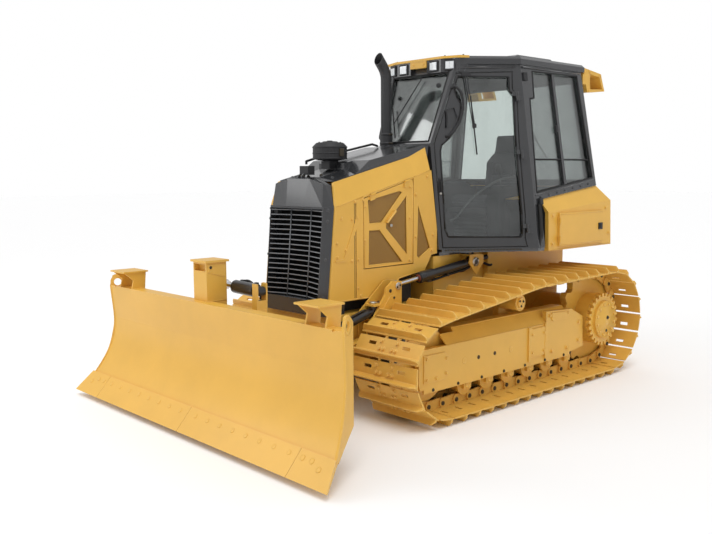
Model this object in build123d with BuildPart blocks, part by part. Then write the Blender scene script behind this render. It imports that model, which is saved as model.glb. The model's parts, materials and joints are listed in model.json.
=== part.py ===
from build123d import *
import math
import os

# Compact crawler bulldozer with a low-ground-pressure undercarriage. Millimetres, +Z up.
# Origin on the ground below the middle of the whole machine; the blade faces -Y; +X is the machine's left.

os.makedirs("parts", exist_ok=True)

# ---------------------------------------------------------------- driving dimensions
SIDES = (("left", 1), ("right", -1))

# undercarriage
SHOE_COUNT = 43
SHOE_WIDTH = 635
TRACK_CENTRE_X = 840.5
PIN_HEIGHT = 90                       # pin line above the grouser tips
PLATE_OUTER = 42                      # outer face of the shoe plates, above the pin line
PLATE_INNER = 30
GROUSER_THICKNESS = 12
SPROCKET_CENTRE = (1626, 490)         # Y, Z
SPROCKET_PIN_RADIUS = 400
IDLER_CENTRE = (-607, 410)
IDLER_PIN_RADIUS = 320
CARRIER_CENTRE = (504, 753)
CARRIER_RADIUS = 71
RAIL_HALF_HEIGHT = 42
RAIL_OFFSET = 60                      # rail centre from the track's centre
RAIL_WIDTH = 26
ROLLER_Z = 205
ROLLER_ROW = (-190, 270, 6)           # first Y, pitch, count
ROLLER_SIDES = 12
SPROCKET_TEETH = 16
SPROCKET_WIDTH = 60
HUB_LUGS = 25

# track frame
FRAME_OUTER_X = 985
FRAME_INNER_X = 695
FRAME_BOTTOM = 254
FRAME_EDGE = 548
FRAME_TOP = 650
FRAME_FRONT = -752
FRAME_REAR = 1180

# hull and engine housing
HULL_HALF = 392
HULL_TOP = 1125
ENGINE_BAY_Z = 760
HOOD_HALF = 390
HOOD_TOP_HALF = 333                   # where the side panels end at the hood
PANEL_THICKNESS = 20
PANEL_BOTTOM = 860
DOOR_BOTTOM = 1085
DOOR_FRONT = -728
DOOR_REAR = -175
DOOR_GAP = 6
GUARD_HALF = 366
SLAT_COUNT = 18

# cab pillars as (X, Y, Z) points from the sill up
SILL_Z = 1180
BEND_Z = 2049
EAVES_Z = 2700
ROOF_Z = 2766
FRONT_PILLAR = ((412, 106, SILL_Z), (296, 122, BEND_Z), (369, 346, EAVES_Z))
DOOR_PILLAR = ((920, 780, SILL_Z), (700, 785, EAVES_Z))
REAR_PILLAR = ((920, 1793, SILL_Z), (700, 1695, EAVES_Z))
WALL = 45
GLASS = 6

# rear tank
TANK_HALF = 900
TANK_BOTTOM = 1141
TANK_INNER = 500

# blade and linkage
FRAME_PIVOT = (300, 500)              # Y, Z of the C-frame's rear pins
ARM_X = 465
ARM_HALF = 40
LIFT_EYE = (-475, 945)
LIFT_TRUNNION = (462, 1060)
BLADE_PIVOT_Y = -1500
BLADE_PIVOT_Z = 430
ANGLE_BASE = (450, -690, 770)
ANGLE_EYE = (482, -1640, 520)
TILT_BASE = (230, -1585, 990)
TILT_EYE = (-200, -1585, 1000)
BLADE_END = (1435, -1860)             # X, Y where the end plane crosses the moldboard
BLADE_END_TURN = 27.5                 # degrees between the end planes and the direction of travel


# ---------------------------------------------------------------- helpers
def block(x, y, z, mode=Mode.ADD):
    """A box between two limits along each axis."""
    with Locations(((x[0] + x[1]) / 2, (y[0] + y[1]) / 2, (z[0] + z[1]) / 2)):
        Box(x[1] - x[0], y[1] - y[0], z[1] - z[0], mode=mode)


def both_sides(x, y, z, mode=Mode.ADD):
    """The same box on both sides of the machine's middle plane."""
    block(x, y, z, mode)
    block((-x[1], -x[0]), y, z, mode)


def span(side, near, far):
    """Limits along X of something that lies between two distances from the middle, on one side."""
    return sorted((side * near, side * far))


def plate_on(plane, outline, thickness, mode=Mode.ADD):
    """A polygon drawn on a plane and extruded along its normal."""
    with BuildSketch(plane) as profile:
        with BuildLine():
            Polyline(*outline, close=True)
        make_face()
    extrude(profile.sketch, amount=thickness, mode=mode)


def side_profile(outline, x_low, x_high, mode=Mode.ADD):
    """A (Y, Z) polygon extruded across the machine."""
    plate_on(Plane.YZ.offset(x_low), outline, x_high - x_low, mode)


def plan_profile(outline, z_low, z_high, mode=Mode.ADD):
    """An (X, Y) polygon extruded upwards."""
    plate_on(Plane.XY.offset(z_low), outline, z_high - z_low, mode)


def cross_disc(radius, x_low, x_high, y, z, mode=Mode.ADD):
    """A round along X."""
    with BuildSketch(Plane.YZ.offset(x_low)) as profile:
        with Locations((y, z)):
            Circle(radius)
    extrude(profile.sketch, amount=x_high - x_low, mode=mode)


def cross_prism(radius, count, x_low, x_high, y, z, mode=Mode.ADD):
    """A many-sided round along X."""
    with BuildSketch(Plane.YZ.offset(x_low)) as profile:
        with Locations((y, z)):
            RegularPolygon(radius, count)
    extrude(profile.sketch, amount=x_high - x_low, mode=mode)


def round_along(plane, start, length, radius, mode=Mode.ADD):
    """A round along a plane's normal, starting at an offset from it."""
    with Locations(plane.offset(start)):
        Cylinder(radius, length, align=(Align.CENTER, Align.CENTER, Align.MIN), mode=mode)


def upright(radius, z_low, z_high, x, y, mode=Mode.ADD):
    """A round along Z."""
    round_along(Plane.XY.offset(z_low).move(Location((x, y, 0))), 0, z_high - z_low, radius, mode)


def lengthways(radius, y_low, y_high, x, z, mode=Mode.ADD):
    """A round along Y."""
    round_along(Plane(origin=(x, y_low, z), z_dir=(0, 1, 0)), 0, y_high - y_low, radius, mode)


def symmetric(points):
    """Closes a half outline, given for +X from one end to the other, with its mirror image."""
    return list(points) + [(-x, y) for x, y in reversed(points)]


def faceted(rings, mode=Mode.ADD):
    """Joins closed rings of 3-D points, one after another, by flat faces."""
    faces = [Face(Wire.make_polygon(rings[0], close=True)), Face(Wire.make_polygon(rings[-1], close=True))]
    for low, high in zip(rings, rings[1:]):
        for i in range(len(low)):
            j = (i + 1) % len(low)
            a, b, c, d = low[i], low[j], high[j], high[i]
            twist = (b - a).cross(d - a).normalized().dot(c - a)
            corners = [(a, b, c, d)] if abs(twist) < 1e-6 else [(a, b, c), (a, c, d)]
            faces += [Face(Wire.make_polygon(quad, close=True)) for quad in corners]
    add(Solid(Shell(faces)), mode=mode)


def ruled_loft(sections, mode=Mode.ADD):
    """Joins (plane, outline) sections by straight faces."""
    faceted([[plane.from_local_coords((x, y, 0)) for x, y in outline] for plane, outline in sections], mode)


def inset_outline(points, distance):
    """A closed outline with every edge moved inwards."""
    edges = []
    for (x0, y0), (x1, y1) in zip(points, points[1:] + points[:1]):
        length = math.hypot(x1 - x0, y1 - y0)
        edges.append((x0, y0, (x1 - x0) / length, (y1 - y0) / length))
    area = sum(a[0] * b[1] - b[0] * a[1] for a, b in zip(points, points[1:] + points[:1]))
    turn = distance if area > 0 else -distance
    moved = [(x - dy * turn, y + dx * turn, dx, dy) for x, y, dx, dy in edges]
    corners = []
    for (x0, y0, dx0, dy0), (x1, y1, dx1, dy1) in zip(moved[-1:] + moved[:-1], moved):
        share = ((x1 - x0) * dy1 - (y1 - y0) * dx1) / (dx0 * dy1 - dy0 * dx1)
        corners.append((x0 + dx0 * share, y0 + dy0 * share))
    return corners


def along(points, at):
    """Straight-line interpolation in a short table of (position, value)."""
    for (low, start), (high, end) in zip(points, points[1:]):
        if at <= high or (high, end) == points[-1]:
            return start + (end - start) * (at - low) / (high - low)


def finish(part, name):
    part.label = name
    export_step(part, f"parts/{name}.step")


def mirrored(part):
    return mirror(part, about=Plane.YZ)


# ---------------------------------------------------------------- track path
def tangent_point(centre, radius, point, side):
    """Where a line from point touches a circle, on the given side of the line of centres."""
    dy, dz = point[0] - centre[0], point[1] - centre[1]
    distance = math.hypot(dy, dz)
    turn = math.atan2(dz, dy) + side * math.acos(radius / distance)
    return (centre[0] + radius * math.cos(turn), centre[1] + radius * math.sin(turn))


carrier_top = (CARRIER_CENTRE[0], CARRIER_CENTRE[1] + CARRIER_RADIUS + RAIL_HALF_HEIGHT + 4)
idler_leave = tangent_point(IDLER_CENTRE, IDLER_PIN_RADIUS, carrier_top, 1)
sprocket_meet = tangent_point(SPROCKET_CENTRE, SPROCKET_PIN_RADIUS, carrier_top, -1)
with BuildLine(Plane.YZ) as pin_line:
    Line((SPROCKET_CENTRE[0], PIN_HEIGHT), (IDLER_CENTRE[0], PIN_HEIGHT))
    ThreePointArc(
        (IDLER_CENTRE[0], PIN_HEIGHT), (IDLER_CENTRE[0] - IDLER_PIN_RADIUS, IDLER_CENTRE[1]), idler_leave
    )
    Line(idler_leave, carrier_top)
    Line(carrier_top, sprocket_meet)
    ThreePointArc(
        sprocket_meet,
        (SPROCKET_CENTRE[0] + SPROCKET_PIN_RADIUS, SPROCKET_CENTRE[1]),
        (SPROCKET_CENTRE[0], PIN_HEIGHT),
    )
pin_wire = pin_line.wire()
pins = [pin_wire.position_at(i / SHOE_COUNT) for i in range(SHOE_COUNT)]
pins = [(p.Y, p.Z) for p in pins]


def link_frames():
    """For each shoe: its pin, the unit vector to the next pin, the outward normal and the pitch."""
    frames = []
    for (y0, z0), (y1, z1) in zip(pins, pins[1:] + pins[:1]):
        pitch = math.hypot(y1 - y0, z1 - z0)
        forward = ((y1 - y0) / pitch, (z1 - z0) / pitch)
        frames.append(((y0, z0), forward, (forward[1], -forward[0]), pitch))
    return frames


LINKS = link_frames()
if LINKS[0][2][1] > 0:                # the normal has to point away from the loop
    LINKS = [(pin, forward, (-out[0], -out[1]), pitch) for pin, forward, out, pitch in LINKS]


def on_link(link, s, h):
    """A point s along a link from its pin and h above the pin line."""
    pin, forward, out, _ = link
    return (pin[0] + forward[0] * s + out[0] * h, pin[1] + forward[1] * s + out[1] * h)


def loop_offset(height):
    """The chain's polygon moved outwards from the pin line."""
    corners = []
    for before, after in zip(LINKS[-1:] + LINKS[:-1], LINKS):
        out = (before[2][0] + after[2][0], before[2][1] + after[2][1])
        scale = height * 2 / (out[0] ** 2 + out[1] ** 2)
        corners.append((after[0][0] + out[0] * scale, after[0][1] + out[1] * scale))
    return corners


# each shoe: distance along the link and height above the pin line
shoe_outline = []
for link in LINKS:
    pitch = link[3]
    shoe_outline += [
        on_link(link, 5, PLATE_OUTER),
        on_link(link, 8, PIN_HEIGHT),
        on_link(link, 8 + GROUSER_THICKNESS, PIN_HEIGHT),
        on_link(link, 14 + GROUSER_THICKNESS, PLATE_OUTER),
        on_link(link, pitch - 5, PLATE_OUTER),
    ]
# each link's inner edge is the rail that the rollers run on, notched over the pins
rail_outline = []
for link in LINKS:
    rail_outline += [
        on_link(link, 2, -RAIL_HALF_HEIGHT + 16),
        on_link(link, 14, -RAIL_HALF_HEIGHT),
        on_link(link, link[3] - 10, -RAIL_HALF_HEIGHT),
    ]
for name, side in SIDES:
    x_low = side * TRACK_CENTRE_X - SHOE_WIDTH / 2
    with BuildPart() as track:
        side_profile(shoe_outline, x_low, x_low + SHOE_WIDTH)
        side_profile(loop_offset(PLATE_INNER), x_low, x_low + SHOE_WIDTH, Mode.SUBTRACT)
        for rail in (-RAIL_OFFSET, RAIL_OFFSET):
            rail_low = side * TRACK_CENTRE_X + rail - RAIL_WIDTH / 2
            with BuildSketch(Plane.YZ.offset(rail_low)) as rail_ring:
                with BuildLine():
                    Polyline(*loop_offset(PLATE_INNER + 2), close=True)
                make_face()
                with BuildLine():
                    Polyline(*rail_outline, close=True)
                make_face(mode=Mode.SUBTRACT)
            extrude(rail_ring.sketch, amount=RAIL_WIDTH)
    finish(track.part, f"track_{name}")

# ---------------------------------------------------------------- sprockets with their hubs
TOOTH_ROOT = SPROCKET_PIN_RADIUS - 29
TOOTH_TIP = SPROCKET_PIN_RADIUS + 19
HUB_LUG_OUTER = 235
HUB_LUG_INNER = 207
rear_pin = max(pins)
first_gap = math.degrees(math.atan2(rear_pin[1] - SPROCKET_CENTRE[1], rear_pin[0] - SPROCKET_CENTRE[0]))


def polar_outline(count, start, cell):
    """Repeats a cell of (radius, share of one step) points round a circle."""
    outline = []
    for i in range(count):
        for radius, share in cell:
            turn = math.radians(start + (i + share) * 360 / count)
            outline.append((radius * math.cos(turn), radius * math.sin(turn)))
    return outline


tooth_cell = [(TOOTH_ROOT, -0.13), (TOOTH_ROOT, 0.13), (TOOTH_TIP, 0.36), (TOOTH_TIP, 0.64)]
lug_cell = [(HUB_LUG_INNER, -0.22), (HUB_LUG_INNER, 0.22), (HUB_LUG_OUTER, 0.28), (HUB_LUG_OUTER, 0.72)]
with BuildPart() as sprockets:
    y, z = SPROCKET_CENTRE
    for side in (1, -1):
        gear_low = side * TRACK_CENTRE_X - SPROCKET_WIDTH / 2
        teeth = polar_outline(SPROCKET_TEETH, first_gap, tooth_cell)
        side_profile([(y + dy, z + dz) for dy, dz in teeth], gear_low, gear_low + SPROCKET_WIDTH)
        # hub: body, ring of lugs, cover
        low, high = span(side, 860, 1000)
        cross_prism(226, 32, low, high, y, z)
        lugs = polar_outline(HUB_LUGS, 0, lug_cell)
        low, high = span(side, 1000, 1036)
        side_profile([(y + dy, z + dz) for dy, dz in lugs], low, high)
        low, high = span(side, 1036, 1058)
        cross_prism(168, 24, low, high, y, z)
finish(sprockets.part, "sprockets")

# ---------------------------------------------------------------- idlers, bottom and carrier rollers
IDLER_TREAD = 266
IDLER_SIDES = 32
ROLLER_TREAD = ROLLER_Z - PIN_HEIGHT - RAIL_HALF_HEIGHT - 0.5
ROLLER_BAR = 108                      # end bars from the track's centre
with BuildPart() as track_rollers:
    first, pitch, count = ROLLER_ROW
    for side in (1, -1):
        centre = side * TRACK_CENTRE_X
        for y in [first + pitch * i for i in range(count)]:
            cross_prism(ROLLER_TREAD, ROLLER_SIDES, centre - 100, centre + 100, y, ROLLER_Z)
            for flange in (-88, 88):
                low = centre + flange - 10
                cross_prism(ROLLER_TREAD + 14, ROLLER_SIDES, low, low + 20, y, ROLLER_Z)
            collar = [(y - 46, FRAME_BOTTOM), (y - 40, 176), (y + 40, 176), (y + 46, FRAME_BOTTOM)]
            for end in (-ROLLER_BAR, ROLLER_BAR):
                side_profile(collar, centre + end - 22, centre + end + 22)
        # idler
        cross_prism(IDLER_TREAD, IDLER_SIDES, centre - 65, centre + 65, *IDLER_CENTRE)
        cross_prism(IDLER_TREAD + 20, IDLER_SIDES, centre - 44, centre + 44, *IDLER_CENTRE)
        cross_prism(60, 12, centre - 99, centre + 99, *IDLER_CENTRE)
        # carrier roller on its post, with the cap at its outer end
        y, z = CARRIER_CENTRE
        low, high = span(side, TRACK_CENTRE_X - 85, TRACK_CENTRE_X + 100)
        cross_prism(CARRIER_RADIUS - 4, 20, low, high, y, z)
        low, high = span(side, TRACK_CENTRE_X + 100, TRACK_CENTRE_X + 114)
        cross_prism(42, 12, low, high, y, z)
        post = [(700, 553.5), (757, 614.7), (757, z + 45), (700, z + 45)]
        plate_on(Plane.XZ.offset(-y - 45), [(side * x, height) for x, height in post], 90)
finish(track_rollers.part, "track_rollers")

# ---------------------------------------------------------------- track frames
frame_centre = (FRAME_OUTER_X + FRAME_INNER_X) / 2
frame_half = (FRAME_OUTER_X - FRAME_INNER_X) / 2
fork = [(-300, FRAME_BOTTOM), (FRAME_FRONT + 13, FRAME_BOTTOM), (FRAME_FRONT, 300), (FRAME_FRONT, 489),
        (FRAME_FRONT + 33, FRAME_EDGE), (-300, FRAME_EDGE)]
guard = [(FRAME_REAR - 10, FRAME_BOTTOM), (1377, 275), (1365, 545), (1187, 629), (812, 649), (812, FRAME_EDGE),
         (FRAME_REAR - 10, FRAME_EDGE)]
beam = symmetric([(frame_half, FRAME_BOTTOM), (frame_half, FRAME_EDGE), (frame_half - 95, FRAME_TOP)])
with BuildPart() as track_frames:
    for side in (1, -1):
        centre = side * frame_centre
        plate_on(Plane.XZ.offset(300), [(centre + x, z) for x, z in beam], -300 - FRAME_REAR)
        # fork around the idler, with the facet carried on over its outer plate
        for x in (centre - frame_half, centre + frame_half - 40):
            side_profile(fork, x, x + 40)
        facet = [(frame_half, FRAME_EDGE), (frame_half, FRAME_EDGE - 14), (frame_half - 70, 607),
                 (frame_half - 70, 623)]
        plate_on(Plane.XZ.offset(454), [(side * (frame_centre + x), z) for x, z in facet], -154)
        # foot flange under the outer plate
        low, high = span(side, FRAME_OUTER_X - 12, FRAME_OUTER_X)
        block((low, high), (-700, 1170), (223, FRAME_BOTTOM))
        # roller channel
        block((centre - 110, centre + 110), (-310, FRAME_REAR + 10), (FRAME_BOTTOM - 5, 300), Mode.SUBTRACT)
        # sprocket guard with its raised foot, and the strap over the recoil spring
        low, high = span(side, FRAME_OUTER_X - 40, FRAME_OUTER_X)
        side_profile(guard, low, high)
        low, high = span(side, FRAME_OUTER_X, FRAME_OUTER_X + 12)
        block((low, high), (560, 812), (FRAME_BOTTOM + 40, FRAME_EDGE - 20))
finish(track_frames.part, "track_frames")

# ---------------------------------------------------------------- hull
BRACKET_NEAR, BRACKET_FAR = 498, 508  # outer plate of the lift cylinder's bracket
PIN_FIT = 0.05                        # running clearance of a pin, on the radius
hull = [(-1050, 560), (-1050, ENGINE_BAY_Z), (60, ENGINE_BAY_Z), (60, HULL_TOP), (1850, HULL_TOP), (1850, 620),
        (1700, 420), (-850, 420)]
with BuildPart() as main_frame:
    side_profile(hull, -HULL_HALF, HULL_HALF)
    block((-300, 300), (1710, 1840), (HULL_TOP, TANK_BOTTOM))
    # drawbar
    plan_profile([(-90, 1750), (90, 1750), (90, 2100), (50, 2150), (-50, 2150), (-90, 2100)], 600, 660)
    with Locations((0, 2080, 660)):
        Hole(22, depth=80)
    # tapped block on the rear face for a winch or ripper
    with Locations(Plane(origin=(0, 1850, 900), x_dir=(-1, 0, 0), z_dir=(0, 1, 0))):
        with GridLocations(420, 260, 2, 2):
            Hole(11, depth=40)
finish(main_frame.part, "main_frame")

# what the hull's sides carry
with BuildPart() as frame_mounts:
    both_sides((HULL_HALF, 450), (700, 1850), (900, HULL_TOP))
    for side in (1, -1):
        # shaft to the track frame and the final drive's housing
        low, high = span(side, HULL_HALF, FRAME_INNER_X)
        cross_prism(75, 20, low, high, 640, 400)
        low, high = span(side, HULL_HALF, TRACK_CENTRE_X - SPROCKET_WIDTH / 2)
        cross_prism(190, 24, low, high, *SPROCKET_CENTRE)
        # C-frame pivot: boss and pin
        low, high = span(side, HULL_HALF, 420)
        cross_prism(80, 24, low, high, *FRAME_PIVOT)
        low, high = span(side, 420, 511)
        cross_disc(35, low, high, *FRAME_PIVOT)
        # lift cylinder's bracket: inner boss, outer plate and the bridge between them
        low, high = span(side, HULL_HALF, 430)
        cross_prism(52, 20, low, high, *LIFT_TRUNNION)
        low, high = span(side, BRACKET_NEAR, BRACKET_FAR)
        side_profile([(392, 1125), (379, 1053), (475, 950), (569, 1047), (568, 1115), (480, 1125)], low, high)
        low, high = span(side, HULL_HALF, BRACKET_NEAR)
        block((low, high), (395, 480), (HULL_TOP - 12, HULL_TOP))
        low, high = span(side, HULL_HALF, BRACKET_FAR + 4)
        cross_disc(22 + PIN_FIT, low + 1, high + 1, *LIFT_TRUNNION, mode=Mode.SUBTRACT)
finish(frame_mounts.part, "frame_mounts")

# ---------------------------------------------------------------- engine
with BuildPart() as engine_block:
    block((-250, 250), (-800, -60), (ENGINE_BAY_Z + 1, 1600))
finish(engine_block.part, "engine_block")


# ---------------------------------------------------------------- radiator guard and grille
def guard_front(z):
    """Y of the guard's front edge, which rakes forward towards the bottom."""
    return -1066 - (1515 - z) * 0.0867


def panel_front(z):
    """Y of the side panels' front edge."""
    return -1007 - (1525 - z) * 0.0975


CAP_FOOT = 1566
CAP_TOP = 1772


def guard_plan(z):
    return symmetric([(GUARD_HALF, -905), (GUARD_HALF, panel_front(z) - 2), (374, panel_front(z) - 4),
                      (317, guard_front(z))])


cap_foot = symmetric([(GUARD_HALF, -956), (GUARD_HALF, -1004), (297, -1056), (100, -1079)])
cap_top = symmetric([(300, -956), (300, -985), (280, -1028), (130, -1036)])
with BuildPart() as radiator_guard:
    ruled_loft([(Plane.XY.offset(z), guard_plan(z)) for z in (ENGINE_BAY_Z + 1, CAP_FOOT)])
    block((-311, 311), (-1200, -955), (872, 1548), Mode.SUBTRACT)
    ruled_loft([(Plane.XY.offset(CAP_FOOT), cap_foot), (Plane.XY.offset(CAP_TOP), cap_top)])
    # the cap's top falls away to both sides
    for side in (1, -1):
        crown = [(side * 130, CAP_TOP), (side * 400, CAP_TOP - 67), (side * 400, CAP_TOP + 9), (side * 130, CAP_TOP + 9)]
        plate_on(Plane.XZ.offset(1100), crown, -200, Mode.SUBTRACT)
finish(radiator_guard.part, "radiator_guard")

SLAT_SPAN = (885, 1533)
SLAT_HALF = 4.5
SLAT_DEPTH = 38
SLAT_DISH = 55
SLAT_KINK = 120
with BuildPart() as grille:
    for i in range(SLAT_COUNT):
        z = SLAT_SPAN[0] + i * (SLAT_SPAN[1] - SLAT_SPAN[0]) / (SLAT_COUNT - 1)
        y = guard_front(z) + 6
        front = symmetric([(309.5, y), (SLAT_KINK, y + SLAT_DISH)])
        back = [(x, along_y + SLAT_DEPTH) for x, along_y in reversed(front)]
        plan_profile(front + back, z - SLAT_HALF, z + SLAT_HALF)
finish(grille.part, "grille")

# ---------------------------------------------------------------- hood
PANEL_CREASE = ((-1003, 1566), (17, 1829))          # (Y, Z) where the side panels start to lean inwards
PANEL_TOP = ((-1000, 1740), (-173, 1937), (20, 2015))
COWL = [(-754, 1801), (-607, 1909), (-10, 2029), (60, 2029), (60, 1990), (20, 1990)]
SPINE_HALF = 150


def hood_section(y, drop):
    top = along(PANEL_TOP, y)
    return symmetric([(HOOD_TOP_HALF - drop, top + 1 - drop * 0.4), (SPINE_HALF, top + 31 - drop)])


hood_stations = (-954, -173, 19)
with BuildPart() as hood_top:
    ruled_loft([(Plane.XZ.offset(-y), hood_section(y, 0)) for y in hood_stations])
    ruled_loft([(Plane.XZ.offset(-y), hood_section(y, 22)) for y in (-960, -173, 25)], Mode.SUBTRACT)
    # spine behind the air intake, and the raised cowl in front of the cab
    spine = [(-700, 1840), (-700, 1889), (-600, 1909), (-600, 1864)]
    side_profile(spine, -SPINE_HALF, SPINE_HALF)
    cowl_foot = [(20, along(PANEL_TOP, 20) + 1), (-173, along(PANEL_TOP, -173) + 1)]
    side_profile(COWL[:3] + [(20, 2029)] + cowl_foot, -HOOD_TOP_HALF, HOOD_TOP_HALF)
    block((-288, 288), (10, 104), (1950, 2029))
finish(hood_top.part, "hood_top")

# ---------------------------------------------------------------- engine side panels and doors
# windows covered by mesh, as (Y, Z) outlines
DOOR_WINDOWS = (
    [(-682, 1608), (-334, 1672), (-303, 1660), (-535, 1432), (-665, 1427)],
    [(-255, 1636), (-254, 1168), (-490, 1386), (-482, 1429)],
    [(-672, 1380), (-551, 1377), (-302, 1112), (-674, 1111)],
)
PANEL_WINDOW = [(-125, 1570), (19, 1200), (-115, 1124), (-137, 1142)]
MESH_DEPTH = 12
RIB = [(-800, 1486), (-764, 1474), (-915, 1160), (-1013, 1160), (-1013, 1176), (-930, 1180)]
panel_outline = [(panel_front(PANEL_BOTTOM), PANEL_BOTTOM), (-420, PANEL_BOTTOM), (-337, 980), (-42, 1022),
                 (38, 1143), (104, 1150), (104, 1350), (32, 1829), (-1003, 1566)]


def lean_section(y):
    """The leaning upper strip of a side panel, on its left side."""
    crease, top = along(PANEL_CREASE, y), along(PANEL_TOP, y)
    return [(HOOD_HALF, crease), (HOOD_TOP_HALF, top), (HOOD_TOP_HALF - 20, top - 6), (HOOD_HALF - 20, crease - 6)]


door_opening = [(DOOR_FRONT, DOOR_BOTTOM), (DOOR_REAR, DOOR_BOTTOM),
                (DOOR_REAR, along(PANEL_CREASE, DOOR_REAR) - 12), (DOOR_FRONT, along(PANEL_CREASE, DOOR_FRONT) - 12)]
with BuildPart() as left_panel:
    side_profile(panel_outline, HOOD_HALF - PANEL_THICKNESS, HOOD_HALF)
    ruled_loft([(Plane.XZ.offset(-y), lean_section(y)) for y in (-1000, -173, 16)])
    # the leaning strip's front end follows the guard
    side_profile([(-1010, 1560), (-1003, 1566), (-972, 1750), (-1010, 1750)], 300, 400, Mode.SUBTRACT)
    side_profile(door_opening, HOOD_HALF - PANEL_THICKNESS, HOOD_HALF, Mode.SUBTRACT)
    side_profile(PANEL_WINDOW, HOOD_HALF - MESH_DEPTH, HOOD_HALF, Mode.SUBTRACT)
    side_profile(RIB, HOOD_HALF, HOOD_HALF + 6)
with BuildPart() as side_panels:
    add(left_panel.part)
    add(mirrored(left_panel.part))
finish(side_panels.part, "side_panels")

# hinge line of the engine doors, along the crease
CREASE_RISE = (PANEL_CREASE[1][1] - PANEL_CREASE[0][1]) / (PANEL_CREASE[1][0] - PANEL_CREASE[0][0])
ENGINE_HINGE_X = 402
ENGINE_HINGE_DROP = 8                 # below the crease


def engine_hinge(y):
    return Vector(ENGINE_HINGE_X, y, along(PANEL_CREASE, y) - ENGINE_HINGE_DROP)


with BuildPart() as left_engine_door:
    leaf = [(DOOR_FRONT + DOOR_GAP, DOOR_BOTTOM + DOOR_GAP), (DOOR_REAR - DOOR_GAP, DOOR_BOTTOM + DOOR_GAP),
            (DOOR_REAR - DOOR_GAP, door_opening[2][1] - 60),
            (DOOR_REAR - DOOR_GAP - 10, door_opening[2][1] - DOOR_GAP - 2.6),
            (DOOR_FRONT + DOOR_GAP, door_opening[3][1] - DOOR_GAP)]
    side_profile(leaf, HOOD_HALF - PANEL_THICKNESS, HOOD_HALF)
    for window in DOOR_WINDOWS:
        side_profile(window, HOOD_HALF - MESH_DEPTH, HOOD_HALF, Mode.SUBTRACT)
    # hinge knuckles and the handle on the strut between the windows
    for y in (-660, -290):
        start, end = engine_hinge(y), engine_hinge(y + 50)
        round_along(Plane(origin=start, z_dir=end - start), 0, (end - start).length, 8)
        strap = [(y, start.Z + 5), (y + 50, end.Z + 5), (y + 50, end.Z - 45), (y, start.Z - 45)]
        side_profile(strap, HOOD_HALF + 5, ENGINE_HINGE_X)
        side_profile([(y, start.Z - 14), (y + 50, end.Z - 14), (y + 50, end.Z - 45), (y, start.Z - 45)],
                     HOOD_HALF - 1, HOOD_HALF + 6)
    with Locations(Plane.YZ.offset(HOOD_HALF + 7)):
        with Locations((-440, 1474)):
            Box(90, 22, 14, rotation=(0, 0, 42))
for name, side in SIDES:
    finish(left_engine_door.part if side > 0 else mirrored(left_engine_door.part), f"engine_door_{name}")

# ---------------------------------------------------------------- cab shell
def pillar_at(pillar, z):
    """The (X, Y) point of a pillar's line at a height, carried on past its ends."""
    pairs = list(zip(pillar, pillar[1:]))
    low, high = next((pair for pair in pairs if z <= pair[1][2]), pairs[-1])
    share = (z - low[2]) / (high[2] - low[2])
    return (low[0] + share * (high[0] - low[0]), low[1] + share * (high[1] - low[1]))


def cab_plan(z, inset):
    """The cab's plan at a height, moved inwards by a wall thickness."""
    corners = [pillar_at(pillar, z) for pillar in (FRONT_PILLAR, DOOR_PILLAR, REAR_PILLAR)]
    outline = symmetric(corners)
    return (Plane.XY.offset(z), inset_outline(outline, inset) if inset else outline)


def wall_plane(origin, along_to, up_to):
    """A wall's outer face: X along it, Y up it, Z outwards."""
    origin, along_to, up_to = Vector(*origin), Vector(*along_to), Vector(*up_to)
    return Plane(origin=origin, x_dir=along_to - origin, z_dir=(along_to - origin).cross(up_to - origin))


door_plane = wall_plane(FRONT_PILLAR[0], DOOR_PILLAR[0], DOOR_PILLAR[1])
side_plane = wall_plane(DOOR_PILLAR[0], REAR_PILLAR[0], DOOR_PILLAR[1])
bend_x, bend_y, _ = FRONT_PILLAR[1]
eaves_x, eaves_y, _ = FRONT_PILLAR[2]
windshield_plane = wall_plane((0, bend_y, BEND_Z), (bend_x, bend_y, BEND_Z), (0, eaves_y, EAVES_Z))
rear_low, rear_high = REAR_PILLAR
rear_plane = wall_plane((0, rear_low[1], SILL_Z), (-rear_low[0], rear_low[1], SILL_Z), (0, rear_high[1], EAVES_Z))

# openings as (along, up) points on their walls
DOOR_OPENING = [(28, 12), (-30, 876), (168, 1460), (648, 1474), (648, 1324), (684, 1288), (698, 873), (738, 272),
                (734, 86), (752, 12)]
DOOR_LIGHT = [(80, 105), (690, 95), (706, 120), (704, 286), (666, 845), (652, 1270), (614, 1318), (614, 1424),
              (184, 1430), (166, 1372), (158, 1301), (175, 1251), (202, 1209), (208, 1159), (180, 1059), (161, 995),
              (95, 910), (36, 858), (26, 804), (45, 379), (52, 166)]
SIDE_LIGHT = [(54, 465), (926, 579), (841, 1497), (160, 1487), (150, 1262), (90, 1255)]
SIDE_BAR = [(475, 440), (505, 440), (476, 1520), (446, 1520)]
WINDSHIELD = [(-270, 20), (270, 20), (318, 620), (-318, 620)]
REAR_LIGHT = [(-750, 551), (750, 551), (620, 1433), (-620, 1433)]
DOOR_RUN = 5                          # gap between door and frame


def private_plate(plane, outline, start, thickness):
    """A plate on a wall as a part of its own, for mirroring."""
    with BuildPart() as plate:
        plate_on(plane.offset(start), outline, thickness)
    return plate.part


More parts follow.
